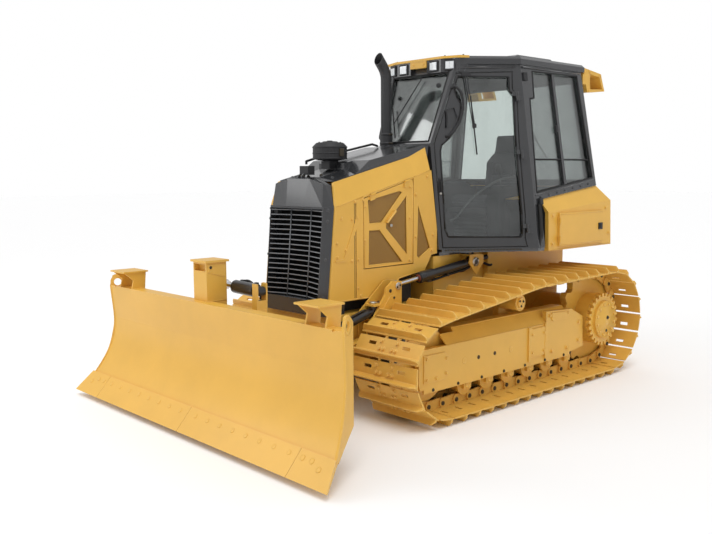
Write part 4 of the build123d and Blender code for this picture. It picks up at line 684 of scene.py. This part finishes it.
angle = Barrel((0.45, -0.69, 0.77), (0.482, -1.64, 0.52), UP, 0.6, 0.038)
angle.tube(angle.beside((0.07, 0.03), (0.1, 0.041), (0.3, 0.04), (0.5, 0.043), (0.56, 0.034)), 0.007, 8,
           "bolt_dark")
angle.lathe([(0.012, -0.012), (0.012, 0.006), (0.008, 0.01)], *angle.beside((0.56, 0.04)), angle.off, 12,
            "bolt_dark")
pair(angle, "angle_barrel_fittings", "angle_barrel_{}")

tilt = Barrel((0.23, -1.585, 0.99), (-0.2, -1.585, 1.0), UP, 0.292, 0.046)
for s in (0.075, 0.245):
    tilt.block(*box(*tilt.beside((s, 0), shift=(0, 0.03, 0.038)), (0.016, 0.012, 0.014)), 0.003)
tilt.tube([tilt.base + tilt.way * s + Vector((0, dy, dz)) for s, dy, dz in (
    (0.245, 0.042, 0.042), (0.2, 0.062, 0.04), (0.12, 0.066, 0.0), (0.095, 0.066, -0.03))], 0.01, 10, "rubber")
tilt.make("tilt_barrel_fittings", "tilt_barrel")

# bracket of the lift cylinder's trunnion, on the hull
bracket = Kit("yellow_paint")
bracket.lathe([(0.04, 0.0), (0.04, 0.004), (0.036, 0.007), (0.0235, 0.007)], (0.508, 0.462, 1.06), LEFT, 28,
              "silver", caps=False)
bracket.bolts(circle((0.5145, 0.462, 1.06), LEFT, 0.031, 2, 0.9), LEFT, 0.006, "bolt_dark")
bracket.bolts([(0.47, 0.405, 1.125), (0.47, 0.47, 1.125)], UP, 0.01, "bolt_dark")
bracket.tube([(0.398, 0.56, 1.105), (0.432, 0.53, 1.096), (0.44, 0.42, 1.0), (0.436, 0.33, 0.985),
              (0.4, 0.26, 0.985)], 0.011, 10, "rubber")
bracket.tube([(0.398, 0.59, 1.085), (0.452, 0.6, 1.05), (0.462, 0.7, 1.01), (0.43, 0.78, 1.01),
              (0.4, 0.8, 1.01)], 0.011, 10, "rubber")
pair(bracket, "lift_bracket_fittings", "chassis")

# ---------------------------------------------------------------- engine housing
PANEL_X = 0.39
WINDOWS = (
    [(-0.682, 1.608), (-0.334, 1.672), (-0.303, 1.66), (-0.535, 1.432), (-0.665, 1.427)],
    [(-0.255, 1.636), (-0.254, 1.168), (-0.49, 1.386), (-0.482, 1.429)],
    [(-0.672, 1.38), (-0.551, 1.377), (-0.302, 1.112), (-0.674, 1.111)],
)
FIXED_WINDOW = [(-0.125, 1.57), (0.019, 1.2), (-0.115, 1.124), (-0.137, 1.142)]


def crease(y, down=0.0):
    """A place on the crease between the side panel and the hood, in Y and Z."""
    return y, 1.566 + (y + 1.003) * 0.25784 - down


def scaled(outline, share):
    """An outline shrunk towards its middle."""
    mid_y, mid_z = (sum(values) / len(outline) for values in zip(*outline))
    return [(mid_y + (y - mid_y) * share, mid_z + (z - mid_z) * share) for y, z in outline]


def window(kit, outline):
    """Punched sheet set into a window, with a rolled frame round its edge."""
    kit.prism(scaled(outline, 0.995), yz(PANEL_X - 0.0115), 0.002, mat="punched")
    for ends in zip(outline, outline[1:] + outline[:1]):
        kit.tube(face(PANEL_X - 0.003, *ends), 0.0038)


housing, doors = Kit("yellow_paint"), Kit("yellow_paint")
for outline in WINDOWS:
    window(doors, outline)
window(housing, FIXED_WINDOW)
housing.bolts(face(PANEL_X, (-0.812, 1.6), (-0.733, 1.612), (-0.843, 1.469), (-0.786, 1.477), (-0.995, 1.299),
                   (-0.908, 1.243), (-0.992, 1.197), (-0.846, 1.158), (-0.781, 1.163), (-0.76, 0.889),
                   (-0.784, 0.95), (-0.018, 1.78), (0.058, 1.307), (0.038, 1.18), (-0.15, 1.3),
                   (-0.95, 1.48), (-0.15, 1.64)), LEFT, 0.0105)
doors.bolts(face(PANEL_X, (-0.712, 1.302), (-0.219, 1.453), (-0.222, 1.12), (-0.708, 1.56), (-0.215, 1.7)),
            LEFT, 0.01)
# seam and cover strip in front of the door
for y in (-0.819, -0.806):
    housing.tube(face(PANEL_X, (y, 0.875), crease(y, 0.004)), 0.0022, mat="bore")
housing.prism([(-0.8, 0.868), (-0.744, 0.868), crease(-0.744, 0.01), crease(-0.8, 0.01)],
              yz(PANEL_X - 0.001), 0.004, 0.001)
# rolled edges along the crease and the panel's foot
for start, end in ((-0.998, -0.73), (-0.172, 0.014)):
    housing.tube(face(PANEL_X - 0.001, crease(start), crease(end)), 0.004, 8)
housing.tube(face(PANEL_X, (-1.065, 0.866), (-0.43, 0.866), (-0.345, 0.984), (-0.046, 1.026)), 0.0035,
             curved=False)
# door: handle with two posts, edges and lock barrel
doors.pin((PANEL_X + 0.018, -0.397, 1.513), (PANEL_X + 0.018, -0.482, 1.435), 0.008, 14)
for y, z in ((-0.397, 1.513), (-0.482, 1.435)):
    doors.pin((PANEL_X, y, z), (PANEL_X + 0.021, y, z), 0.01, 14)
for ends in (((-0.716, 1.095), (-0.716, 1.612)), ((-0.19, 1.095), (-0.19, 1.69)),
             ((-0.714, 1.094), (-0.192, 1.094))):
    doors.tube(face(PANEL_X, *ends), 0.003)
doors.lathe([(0.013, 0.0), (0.013, 0.004), (0.01, 0.006), (0.0, 0.006)], (PANEL_X, -0.43, 1.405), LEFT, 18,
            "silver", caps=False)
pair(housing, "housing_fittings", "chassis")
pair(doors, "engine_door_fittings", "engine_door_{}")

# ---------------------------------------------------------------- radiator guard and grille
SLATS = 18
FINS = 40


def guard_y(z):
    """The leaning front of the guard."""
    return -1.066 - (1.515 - z) * 0.0867


guard = Kit("dark_paint")
# the slats and upright bars take slat_edge, a lighter grey copy of the dark paint: a painted highlight on the
# guard's slats
for i in range(SLATS):
    z = 0.885 + i * 0.648 / (SLATS - 1)
    y = guard_y(z)
    row = [(-0.3085, y + 0.0055), (-0.12, y + 0.0605), (0.12, y + 0.0605), (0.3085, y + 0.0055)]
    for ends in zip(row, row[1:]):
        guard.rings([[(x, y, z - 0.0042), (x, y - 0.0012, z - 0.003), (x, y - 0.0012, z + 0.003),
                      (x, y, z + 0.0042)]
                     for x, y in ends], "slat_edge")
for x in (-0.12, 0.12):
    guard.tube([(x, guard_y(0.88) + 0.056, 0.876), (x, guard_y(1.54) + 0.056, 1.544)], 0.0045, 8, "slat_edge")
for k in (-1, 1):
    guard.block((k * 0.309, guard_y(1.5) + 0.03, 1.49), (k * 0.262, guard_y(1.5) + 0.075, 1.545), 0.003,
                "black_plastic")
# radiator core behind the slats: near-black fins before a near-black back sheet, which is painted shade for
# the dark depth of the core
guard.block((-0.306, -0.957, 0.874), (0.306, -0.95, 1.546), 0.001, "void")
for i in range(FINS):
    x = -0.3 + 0.6 * i / (FINS - 1)
    guard.block((x - 0.0015, -0.9625, 0.878), (x + 0.0015, -0.956, 1.542), 0.0004, "void")
# bolts on the cheeks and the fork bracket on the cap
for k in (-1, 1):
    for z in (0.8, 0.9, 1.18, 1.46, 1.54):
        y = (guard_y(z) - 1.011 - (1.525 - z) * 0.0975) / 2
        guard.bolt((k * 0.345, y, z), (k * 0.62, -0.78, 0.05), 0.009)
for k in (-1, 1):
    guard.prism([(-1.026, 1.758), (-0.99, 1.772), (-0.984, 1.8), (-1.004, 1.812), (-1.026, 1.79)],
                yz(k * 0.02), 0.006, 0.001)
guard.pin((-0.026, -1.006, 1.794), (0.032, -1.006, 1.794), 0.006, 12, "bolt_dark")
guard.make("guard_fittings", "chassis")

# ---------------------------------------------------------------- hood, intake and exhaust
HOOD_LINE = ((-1.0, 1.74), (-0.173, 1.937), (0.02, 2.015))


def hood_z(y, above=0.0):
    (y0, z0), (y1, z1) = HOOD_LINE[:2] if y <= HOOD_LINE[1][0] else HOOD_LINE[1:]
    return z0 + (z1 - z0) * (y - y0) / (y1 - y0) + above


hood = Kit("dark_paint")
for k in (-1, 1):
    for y in (-0.9, -0.64, -0.38, -0.2, -0.06):
        hood.bolt((k * 0.24, y, hood_z(y, 0.01675)), (k * 0.16, -0.22, 1), 0.009)
    hood.tube([(k * 0.15, y, hood_z(y, 0.032)) for y in (-0.95, -0.78)], 0.003)
    hood.tube([(k * 0.331, y, hood_z(y, 0.002)) for y in (-0.95, -0.18)], 0.003, mat="rubber")
for x, y in ((-0.11, -0.9), (0.11, -0.9), (0.0, -0.935)):
    hood.bolt((x, y, hood_z(y, 0.032)), (0, -0.23, 1), 0.01, "bolt_dark")
# bowl: bands, lid, lid bolts and the clamp round its neck
BOWL = (0, -0.715, 0)
for z, r in ((1.925, 0.1345), (2.012, 0.1345), (1.966, 0.1342)):
    hood.lathe([(r, z - 0.005), (r + 0.003, z - 0.003), (r + 0.003, z + 0.003), (r, z + 0.005)], BOWL, UP, 48,
               "black_plastic", caps=False)
hood.lathe([(0.111, 2.041), (0.104, 2.047), (0.06, 2.052), (0.052, 2.058), (0.022, 2.06), (0.02, 2.064),
            (0.0, 2.064)], BOWL, UP, 40, "black_plastic", caps=False)
hood.bolts(circle((0, -0.715, 2.048), UP, 0.084, 6), UP, 0.006, "bolt_dark")
hood.block((0.128, -0.735, 1.94), (0.146, -0.695, 2.0), 0.003, "bolt_dark")
hood.make("hood_fittings", "chassis")
stack = Kit("exhaust_coating")
for z in (2.06, 2.135):
    stack.lathe([(0.053, z - 0.01), (0.0565, z - 0.008), (0.0565, z + 0.008), (0.053, z + 0.01)],
                (-0.155, 0.062, 0), UP, 36, caps=False)
    stack.pin((-0.1, 0.04, z), (-0.1, 0.084, z), 0.007, 10, "bolt_dark")
stack.tube([(-0.155, 0.016, 2.15), (-0.155, 0.016, 2.585)], 0.0022)
stack.make("exhaust_fittings", "chassis")


# ---------------------------------------------------------------- cab walls
def wall(origin, toward, above):
    """Frame on a wall's outer face: X along it, Y up it, Z outwards."""
    origin, toward, above = Vector(origin), Vector(toward), Vector(above)
    return basis(origin, (toward - origin).cross(above - origin), toward - origin)


def outward(wall):
    return wall.col[2].to_3d()


PILLAR_A, PILLAR_B, PILLAR_C = (0.412, 0.106, 1.18), (0.92, 0.78, 1.18), (0.92, 1.793, 1.18)
B_TOP = (0.7, 0.785, 2.7)
DOOR_AT = wall(PILLAR_A, PILLAR_B, B_TOP)
SIDE_AT = wall(PILLAR_B, PILLAR_C, B_TOP)
FRONT_AT = wall((0, 0.122, 2.049), (0.296, 0.122, 2.049), (0, 0.346, 2.7))
REAR_AT = wall((0, 1.793, 1.18), (-0.92, 1.793, 1.18), (0, 1.695, 2.7))
# outlines on the walls, in millimetres
DOOR_LIGHT = [(80, 105), (690, 95), (706, 120), (704, 286), (666, 845), (652, 1270), (614, 1318), (614, 1424),
              (184, 1430), (166, 1372), (158, 1301), (175, 1251), (202, 1209), (208, 1159), (180, 1059),
              (161, 995), (95, 910), (36, 858), (26, 804), (45, 379), (52, 166)]
DOOR_EDGE = [(33, 17), (-24, 874), (172, 1454), (642, 1468), (642, 1326), (678, 1286), (692, 873), (732, 272),
             (728, 86), (745, 17)]
SIDE_LIGHT = [(54, 465), (926, 579), (841, 1497), (160, 1487), (150, 1262), (90, 1255)]
WINDSHIELD = [(-270, 20), (270, 20), (318, 620), (-318, 620)]
REAR_LIGHT = [(-750, 551), (750, 551), (620, 1433), (-620, 1433)]


def gasket(kit, wall, outline, lift, radius, mat=None, n=6, close=True):
    """A round laid from corner to corner of an outline on a wall."""
    pts = on(wall, *((x / 1000, y / 1000, lift) for x, y in outline))
    for ends in zip(pts, pts[1:] + pts[:1] if close else pts[1:]):
        kit.tube(ends, radius, n, mat)


shell = Kit("dark_paint")
gasket(shell, SIDE_AT, SIDE_LIGHT, -0.002, 0.008, "rubber")
gasket(shell, SIDE_AT, [(28, 440), (950, 565)], 0.001, 0.004, close=False)
# sliding pane's frame and catch on the side window
for u in (475, 505):
    gasket(shell, SIDE_AT, [(u, 540), (u - 28, 1485)], -0.006, 0.006, "rubber", close=False)
gasket(shell, SIDE_AT, [(80, 745), (900, 745)], -0.01, 0.007, "rubber", close=False)
shell.block((0.43, 0.98, -0.018), (0.462, 1.04, 0.004), 0.003, "black_plastic", SIDE_AT)
shell.bolts(on(SIDE_AT, *((0.1 + 0.125 * i, 0.425 + 0.0165 * i, 0) for i in range(7))), outward(SIDE_AT),
            0.009)
# rain gutter over the door and side window
gasket(shell, DOOR_AT, [(180, 1498), (668, 1508)], 0.006, 0.007, n=8, close=False)
gasket(shell, SIDE_AT, [(20, 1512), (900, 1520)], 0.006, 0.007, n=8, close=False)
# perforated strip along the door's sill, and the cover of the wiper's motor
for place in on(DOOR_AT, *((0.062 + 0.0275 * i, -0.008, 0.0005) for i in range(24))):
    shell.lathe([(0.0075, 0.0), (0.0075, 0.0022), (0.005, 0.0028), (0.0042, 0.0008)], place, outward(DOOR_AT),
                10, "bolt_dark")
shell.lathe([(0.02, 0.0), (0.02, 0.012), (0.014, 0.018), (0.0, 0.018)], *on(DOOR_AT, (0.02, 1.35, 0)),
            outward(DOOR_AT), 20, "black_plastic", caps=False)
# corrugated hoses and a socket at the pillar's foot, a cover at its top
for dx, dy, r in ((0.0, 0.0, 0.014), (0.012, 0.036, 0.012)):
    path = [Vector((x - dx, y + dy, z)) for x, y, z in (
        (0.905, 0.806, 1.178), (0.914, 0.812, 1.3), (0.899, 0.822, 1.42), (0.88, 0.83, 1.54))]
    shell.tube(path, r * 0.8, 10, "rubber")
    for i in range(30):
        t = i / 29 * 3
        j = min(2, int(t))
        shell.lathe([(r * 0.75, -0.003), (r, -0.001), (r, 0.001), (r * 0.75, 0.003)],
                    path[j].lerp(path[j + 1], t - j), path[j + 1] - path[j], 10, "rubber", caps=False)
shell.block((0.06, 0.36, 0.0), (0.105, 0.415, 0.022), 0.004, "black_plastic", SIDE_AT)
shell.block((0.02, 1.4, -0.004), (0.07, 1.47, 0.016), 0.004, "black_plastic", SIDE_AT)
pair(shell, "cab_fittings", "chassis")

front = Kit("dark_paint")
gasket(front, FRONT_AT, WINDSHIELD, -0.002, 0.008, "rubber")
gasket(front, REAR_AT, REAR_LIGHT, -0.002, 0.008, "rubber")
# wipers of the windshield and of the rear window
front.tube(on(FRONT_AT, (0.03, 0.59, 0.006), (-0.18, 0.18, 0.008)), 0.005, 8, "black_plastic")
front.tube(on(FRONT_AT, (-0.12, 0.06, 0.007), (-0.235, 0.33, 0.007)), 0.006, 6, "rubber")
front.tube(on(REAR_AT, (0.03, 1.4, 0.006), (-0.22, 0.9, 0.008)), 0.005, 8, "black_plastic")
front.tube(on(REAR_AT, (-0.32, 0.76, 0.007), (-0.22, 0.9, 0.008), (-0.13, 1.06, 0.007)), 0.006, 6, "rubber")
front.bolts(on(REAR_AT, *((x, 0.525, 0) for x in (-0.5, -0.25, 0.0, 0.25, 0.5))), outward(REAR_AT), 0.009)
front.make("cab_front_fittings", "chassis")

# ---------------------------------------------------------------- cab doors
leaf = Kit("dark_paint")
gasket(leaf, DOOR_AT, DOOR_LIGHT, -0.001, 0.0075, "rubber")
gasket(leaf, DOOR_AT, DOOR_EDGE, 0.0005, 0.0035, "rubber")
# wiper: two arms on their mount, and the blade
for du in (0.0, 0.016):
    leaf.tube(on(DOOR_AT, (0.24 + du, 1.44, 0.012), (0.3 + du, 1.02, 0.014)), 0.004, 8, "black_plastic")
leaf.block((0.215, 1.425, 0.0), (0.29, 1.462, 0.016), 0.004, "black_plastic", DOOR_AT)
leaf.tube(on(DOOR_AT, (0.285, 1.26, 0.012), (0.33, 0.78, 0.012)), 0.006, 6, "rubber")
leaf.block((0.296, 1.0, 0.004), (0.33, 1.035, 0.018), 0.003, "black_plastic", DOOR_AT)
# lock plate with the pull and its button
leaf.block((0.004, 0.45, -0.002), (0.04, 0.59, 0.004), 0.002, "black_plastic", DOOR_AT)
leaf.tube(on(DOOR_AT, (0.022, 0.475, 0.003), (0.022, 0.49, 0.026), (0.022, 0.55, 0.026),
             (0.022, 0.566, 0.003)),
          0.006, 10, "black_plastic")
leaf.lathe([(0.01, 0.0), (0.01, 0.004), (0.007, 0.006), (0.0, 0.006)], *on(DOOR_AT, (0.022, 0.462, 0.004)),
           outward(DOOR_AT), 16, "silver", caps=False)
# curved handrail inside the glass, the bar of the grab recess, and the pull handle beside the upper window
leaf.tube(on(DOOR_AT, (0.1, 0.24, -0.04), (0.16, 0.26, -0.075), (0.3, 0.42, -0.085), (0.5, 0.56, -0.085),
             (0.64, 0.6, -0.07), (0.674, 0.6, -0.04)), 0.01, 10)
leaf.tube(on(DOOR_AT, (0.082, 1.01, -0.012), (0.086, 1.08, -0.01), (0.082, 1.14, -0.012)), 0.007, 10,
          "black_plastic")
leaf.tube(on(DOOR_AT, (0.128, 1.33, 0.004), (0.16, 1.335, 0.03), (0.205, 1.27, 0.034), (0.214, 1.16, 0.034),
             (0.18, 1.04, 0.034), (0.11, 0.945, 0.03), (0.075, 0.93, 0.004)), 0.011, 12, "black_plastic")
# bolts beside the hinges
for share in (0.106, 0.526, 0.856):
    u, v = 0.726 - 0.092 * share, 0.022 + 1.462 * share
    leaf.bolts(on(DOOR_AT, (u, v - 0.006, 0.002), (u, v + 0.03, 0.002)), outward(DOOR_AT), 0.006, washer=False)
pair(leaf, "cab_door_fittings", "cab_door_{}")

# ---------------------------------------------------------------- roof and lamps
roof = Kit("dark_paint")
for x, y, out in ((0.173, 0.2985, (0, -1, 0)), (0.325, 0.3285, (0.37, -0.93, 0))):
    at = basis((x, y, 2.694), out, UP)
    roof.block((-0.046, -0.05, -0.004), (0.046, 0.05, 0.01), 0.006, "black_plastic", at)
    roof.block((-0.032, -0.038, 0.008), (0.032, 0.038, 0.0115), 0.002, "reflector", at)
    for low, high in ((-0.034, -0.001), (0.001, 0.034)):
        roof.block((-0.028, low, 0.0112), (0.028, high, 0.014), 0.002, "lens", at)
# seams on the roof's cap, and lifting bolts
roof.tube([(0.41, 0.955, 2.769), (0.41, 1.69, 2.769)], 0.004)
roof.bolts([(0.56, 0.9, 2.766), (0.56, 1.6, 2.766), (0.3, 0.56, 2.766)], UP, 0.012, "bolt_dark")
roof.block((0.1, 1.1, 2.838), (0.104, 1.6, 2.8385), 0.0001)
# round rear lamp: bezel, reflector and bulged lens
LAMP, LAMP_R = (0.63, 1.853, 2.645), 0.036
for profile, n, mat in (
        ([(1.04, -0.03), (1.12, 0.0), (1.12, 0.006), (0.98, 0.009), (0.96, 0.001)], 32, "black_plastic"),
        ([(0.96, 0.002), (0.9, 0.001), (0.55, -0.004), (0.3, -0.006), (0.0, -0.006)], 32, "reflector"),
        ([(0.3, -0.004), (0.28, 0.004), (0.15, 0.007), (0.0, 0.008)], 20, "lens")):
    roof.lathe([(LAMP_R * share, h) for share, h in profile], LAMP, REAR, n, mat, caps=False)
pair(roof, "roof_fittings", "chassis")
brow = Kit("yellow_paint")
brow.bolts([(0.275, 0.322, 2.7675), (0.42, 0.385, 2.7675)], UP, 0.008, "bolt_dark")
brow.bolt((0.06, 0.292, 2.722), FRONT, 0.008)
brow.bolts(face(0.7, (1.84, 2.722), (2.02, 2.696), (2.076, 2.568), (1.835, 2.545)), LEFT, 0.009)
pair(brow, "lamp_guard_fittings", "chassis")

# ---------------------------------------------------------------- rear tank, rear end
tank = Kit("yellow_paint")
tank.tube(face(0.9005, (0.955, 1.15), (1.94, 1.15)), 0.004)
tank.bolts(face(0.9, (1.0, 1.44), (1.84, 1.48), (1.9, 1.25), (1.0, 1.2)), LEFT, 0.012)
pair(tank, "tank_fittings", "chassis")
rear = Kit("yellow_paint")
for x in (-0.6, 0.6):
    rear.lathe([(0.06, 0.0), (0.06, 0.02), (0.052, 0.028), (0.018, 0.03), (0.016, 0.042), (0.0, 0.042)],
               (x, 1.87, 1.6005), (0, 0.66, 0.75), 28, "black_plastic", caps=False)
for x in (-0.78, -0.4, 0.0, 0.4, 0.78):
    rear.bolts([(x, 1.946 - (z - 1.141) * 0.0494, z) for z in (1.19, 1.5)], (0, 1, 0.05), 0.011)
rear.block((-0.45, 1.935, 1.23), (0.45, 1.944, 1.44), 0.003)
rear.bolt((0.0, 1.85, 1.04), REAR, 0.015, "bolt_dark")
rear.bolts([(x, 1.85, z) for x in (-0.32, 0.32) for z in (0.7, 1.08)], REAR, 0.016, "bolt_dark")
rear.make("rear_fittings", "chassis")
hatch = Kit("yellow_paint")
hatch.block((0.921, 1.69, 1.29), (0.93, 1.755, 1.35), 0.002, "black_plastic")
hatch.block((0.928, 1.705, 1.3), (0.936, 1.74, 1.34), 0.002, "black_plastic")
for z in (1.187, 1.448):
    hatch.tube([(0.921, 1.092, z), (0.921, 1.768, z)], 0.003)
hatch.make("service_door_fittings", "service_door")

# ---------------------------------------------------------------- operator station
station = Kit("black_plastic")
for side in (1, -1):
    x = side * 0.355
    # armrest pad, lever and switches on each console
    station.block((x - 0.048, 1.08, 1.69), (x + 0.048, 1.33, 1.722), 0.01, "seat_fabric")
    station.tube([(x, 0.985, 1.686), (x, 0.975, 1.74), (x, 0.965, 1.8)], 0.01, 12, "rubber")
    station.lathe([(0.014, 0.0), (0.026, 0.02), (0.028, 0.05), (0.022, 0.085), (0.01, 0.096), (0.0, 0.097)],
                  (x, 0.964, 1.79), (0, -0.12, 1), 20, caps=False)
    for i in range(4):
        left = x - 0.04 + 0.022 * i
        station.block((left, 1.345, 1.672), (left + 0.014, 1.365, 1.69))
# display on the dash, pedals
station.block((-0.105, 0.258, 1.724), (0.105, 0.284, 1.85), 0.006)
station.block((-0.092, 0.2835, 1.738), (0.092, 0.286, 1.838), 0.001, "screen")
for x in (-0.08, 0.08):
    station.block((x - 0.04, 0.47, 1.19), (x + 0.04, 0.56, 1.206), 0.004, "rubber")
    station.tube([(x, 0.43, 1.3), (x, 0.47, 1.24), (x, 0.51, 1.2)], 0.008, 8, "bolt_dark")
# bellows of the seat's suspension
for i in range(6):
    z = 1.2 + 0.038 * i
    station.rings([[(sx * (0.182 + out), sy + out * way, z + up) for sx, sy, way in (
        (-1, 1.01, -1), (1, 1.01, -1), (1, 1.402, 1), (-1, 1.402, 1))]
        for out, up in ((0, 0), (0.01, 0.019), (0, 0.038))], "rubber")
# dark lining over the tank where it stands in the cab
LINING = 0.004
for side in (1, -1):
    station.prism([(0.862, 1.182), (1.698, 1.182), (1.698, 1.672), (0.862, 1.572)], yz(side * 0.4985, -side),
                  LINING)
    station.rings([face(side * x, (0.944, 1.184), (0.934, 1.47), (0.866, 1.572), (0.863, 1.572),
                        (0.931, 1.468), (0.94, 1.184)) for x in (0.502, 0.868)])
station.prism([(-0.49, 1.182), (0.49, 1.182), (0.49, 1.67), (-0.49, 1.67)], basis((0, 1.6985, 0), FRONT, LEFT),
              LINING)
station.make("station_fittings", "chassis")

# ---------------------------------------------------------------- seat in padded cloth
VOXEL = 0.006
CLOTH_STEPS = 20
MOST_RISE = 0.012
SEAM_DEPTH, SEAM_WIDTH = 0.007, 0.007
CLOTH_ROOM = Vector((0.004, 0.004, 0.004))


def evaluated(o):
    return o.evaluated_get(bpy.context.evaluated_depsgraph_get())


def blown_up(o):
    """The places of a form's vertices after air pressure as cloth."""
    cloth = o.modifiers.new("cloth", "CLOTH")
    cloth.settings.quality = 4
    cloth.settings.use_pressure = True
    cloth.settings.uniform_pressure_force = 4
    cloth.settings.effector_weights.gravity = 0
    cloth.collision_settings.use_collision = False
    for step in range(1, CLOTH_STEPS + 1):
        scene.frame_set(step)
    places = [v.co.copy() for v in evaluated(o).data.vertices]
    o.modifiers.remove(cloth)
    scene.frame_set(1)
    return places


def pad(name, node, sections, seams):
    """A cushion: a rounded closed form blown up as cloth, then sewn; seams give a place's distance or None."""
    kit = Kit("seat_fabric")
    kit.rings(sections, smooth=True)
    form = kit.make(f"{name}_form", "chassis", slotted=False)
    remesh = form.modifiers.new("remesh", "REMESH")
    remesh.mode = "VOXEL"
    remesh.voxel_size = VOXEL
    mesh = bpy.data.meshes.new_from_object(evaluated(form))
    bpy.data.objects.remove(form)
    o = bpy.data.objects.new(name, mesh)
    scene.collection.objects.link(o)
    rest = [v.co.copy() for v in mesh.vertices]
    normals = [v.normal.copy() for v in mesh.vertices]
    blown = blown_up(o)
    low, high = (Vector(corner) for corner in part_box(node))
    low, high = low - CLOTH_ROOM, high + CLOTH_ROOM
    for v, start, end, normal in zip(mesh.vertices, rest, blown, normals):
        step = end - start
        if step.length > MOST_RISE:
            step = step * (MOST_RISE / step.length)
        p = start + step
        for seam in seams:
            away = seam(p)
            if away is not None:
                p = p - normal * SEAM_DEPTH * math.exp(-(away / SEAM_WIDTH) ** 2)
        v.co = [min(max(p[i], low[i]), high[i]) for i in range(3)]
    finer = o.modifiers.new("finer", "SUBSURF")
    finer.levels = finer.render_levels = 1
    o.data = bpy.data.meshes.new_from_object(evaluated(o))
    o.modifiers.clear()
    o.data.materials.clear()
    o.data.materials.append(M["seat_fabric"])
    o.data.polygons.foreach_set("use_smooth", [True] * len(o.data.polygons))
    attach(o, "chassis")
    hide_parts(node)


def seam(axis, where, holds):
    """A sewn line on a plane across an axis, where a place holds."""
    return lambda p: abs(p[axis] - where) if holds(p) else None


CUSHION_SIDE = [(0.975, 1.489), (1.2, 1.486), (1.43, 1.489), (1.44, 1.52), (1.436, 1.56), (1.4, 1.58),
                (1.3, 1.578), (1.18, 1.58), (1.06, 1.588), (0.99, 1.594), (0.964, 1.578), (0.958, 1.54),
                (0.962, 1.51)]
CUSHION_X = [(-0.231, 0.72), (-0.224, 0.88), (-0.205, 0.97), (-0.12, 1.0), (0.0, 1.0), (0.12, 1.0),
             (0.205, 0.97), (0.224, 0.88), (0.231, 0.72)]
PANEL = 0.128


def on_top(p):
    return p.z > 1.555


def on_panel(p):
    return on_top(p) and abs(p.x) < PANEL


pad("seat_cushion_cloth", "seat_cushion", [face(x, *scaled(CUSHION_SIDE, share)) for x, share in CUSHION_X],
    [seam(0, PANEL, on_top), seam(0, -PANEL, on_top), seam(1, 1.12, on_panel), seam(1, 1.28, on_panel),
     seam(2, 1.535, lambda p: p.z < 1.55)])

BACK_LINE = [(1.474, 1.51), (1.508, 1.505), (1.545, 1.7), (1.59, 1.985), (1.601, 2.15), (1.585, 2.166),
             (1.545, 2.168), (1.53, 2.15), (1.505, 2.02), (1.488, 1.9), (1.474, 1.7), (1.464, 1.6),
             (1.462, 1.53)]
# half width at heights: shoulders below a narrower headrest
BACK_HALF = [(1.5, 0.205), (1.56, 0.222), (1.85, 0.222), (1.95, 0.19), (2.02, 0.128), (2.06, 0.122),
             (2.14, 0.122), (2.2, 0.105)]
BACK_PANEL = 0.12


def back_half(z):
    for (z0, w0), (z1, w1) in zip(BACK_HALF, BACK_HALF[1:]):
        if z <= z1:
            return w0 + (w1 - w0) * (z - z0) / (z1 - z0)


def back_mid(z):
    """The leaning middle of the seat's back."""
    return 1.487 + (z - 1.505) * 0.135


def in_front(p):
    return p.y < back_mid(p.z)


def below_head(p):
    return in_front(p) and p.z < 1.9


def on_back_panel(p):
    return in_front(p) and abs(p.x) < BACK_PANEL


back_sections = [[(share * back_half(z), back_mid(z) + (y - back_mid(z)) * scale, z) for y, z in BACK_LINE]
                 for share, scale in ((-1.0, 0.55), (-0.96, 0.82), (-0.86, 0.97), (-0.5, 1.0), (0.0, 1.0),
                                      (0.5, 1.0), (0.86, 0.97), (0.96, 0.82), (1.0, 0.55))]
pad("seat_back_cloth", "seat_back", back_sections,
    [seam(0, BACK_PANEL, below_head), seam(0, -BACK_PANEL, below_head), seam(2, 1.64, on_back_panel),
     seam(2, 1.78, on_back_panel), seam(2, 1.99, in_front)])

# ---------------------------------------------------------------- floor
FLOOR_HALF = 60
floor_mesh = bpy.data.meshes.new("floor")
floor_mesh.from_pydata([(x * FLOOR_HALF, y * FLOOR_HALF, 0) for x, y in ((-1, -1), (1, -1), (1, 1), (-1, 1))],
                       [], [[0, 1, 2, 3]])
floor = bpy.data.objects.new("floor", floor_mesh)
scene.collection.objects.link(floor)
pale = bpy.data.materials.new("floor")
pale_tree = Tree(pale)
pale_tree.fill(pale_tree.tree.nodes["Principled BSDF"], {
    "Base Color": (0.97, 0.97, 0.97, 1), "Roughness": 0.9, "Specular IOR Level": 0.1})
floor_mesh.materials.append(pale)
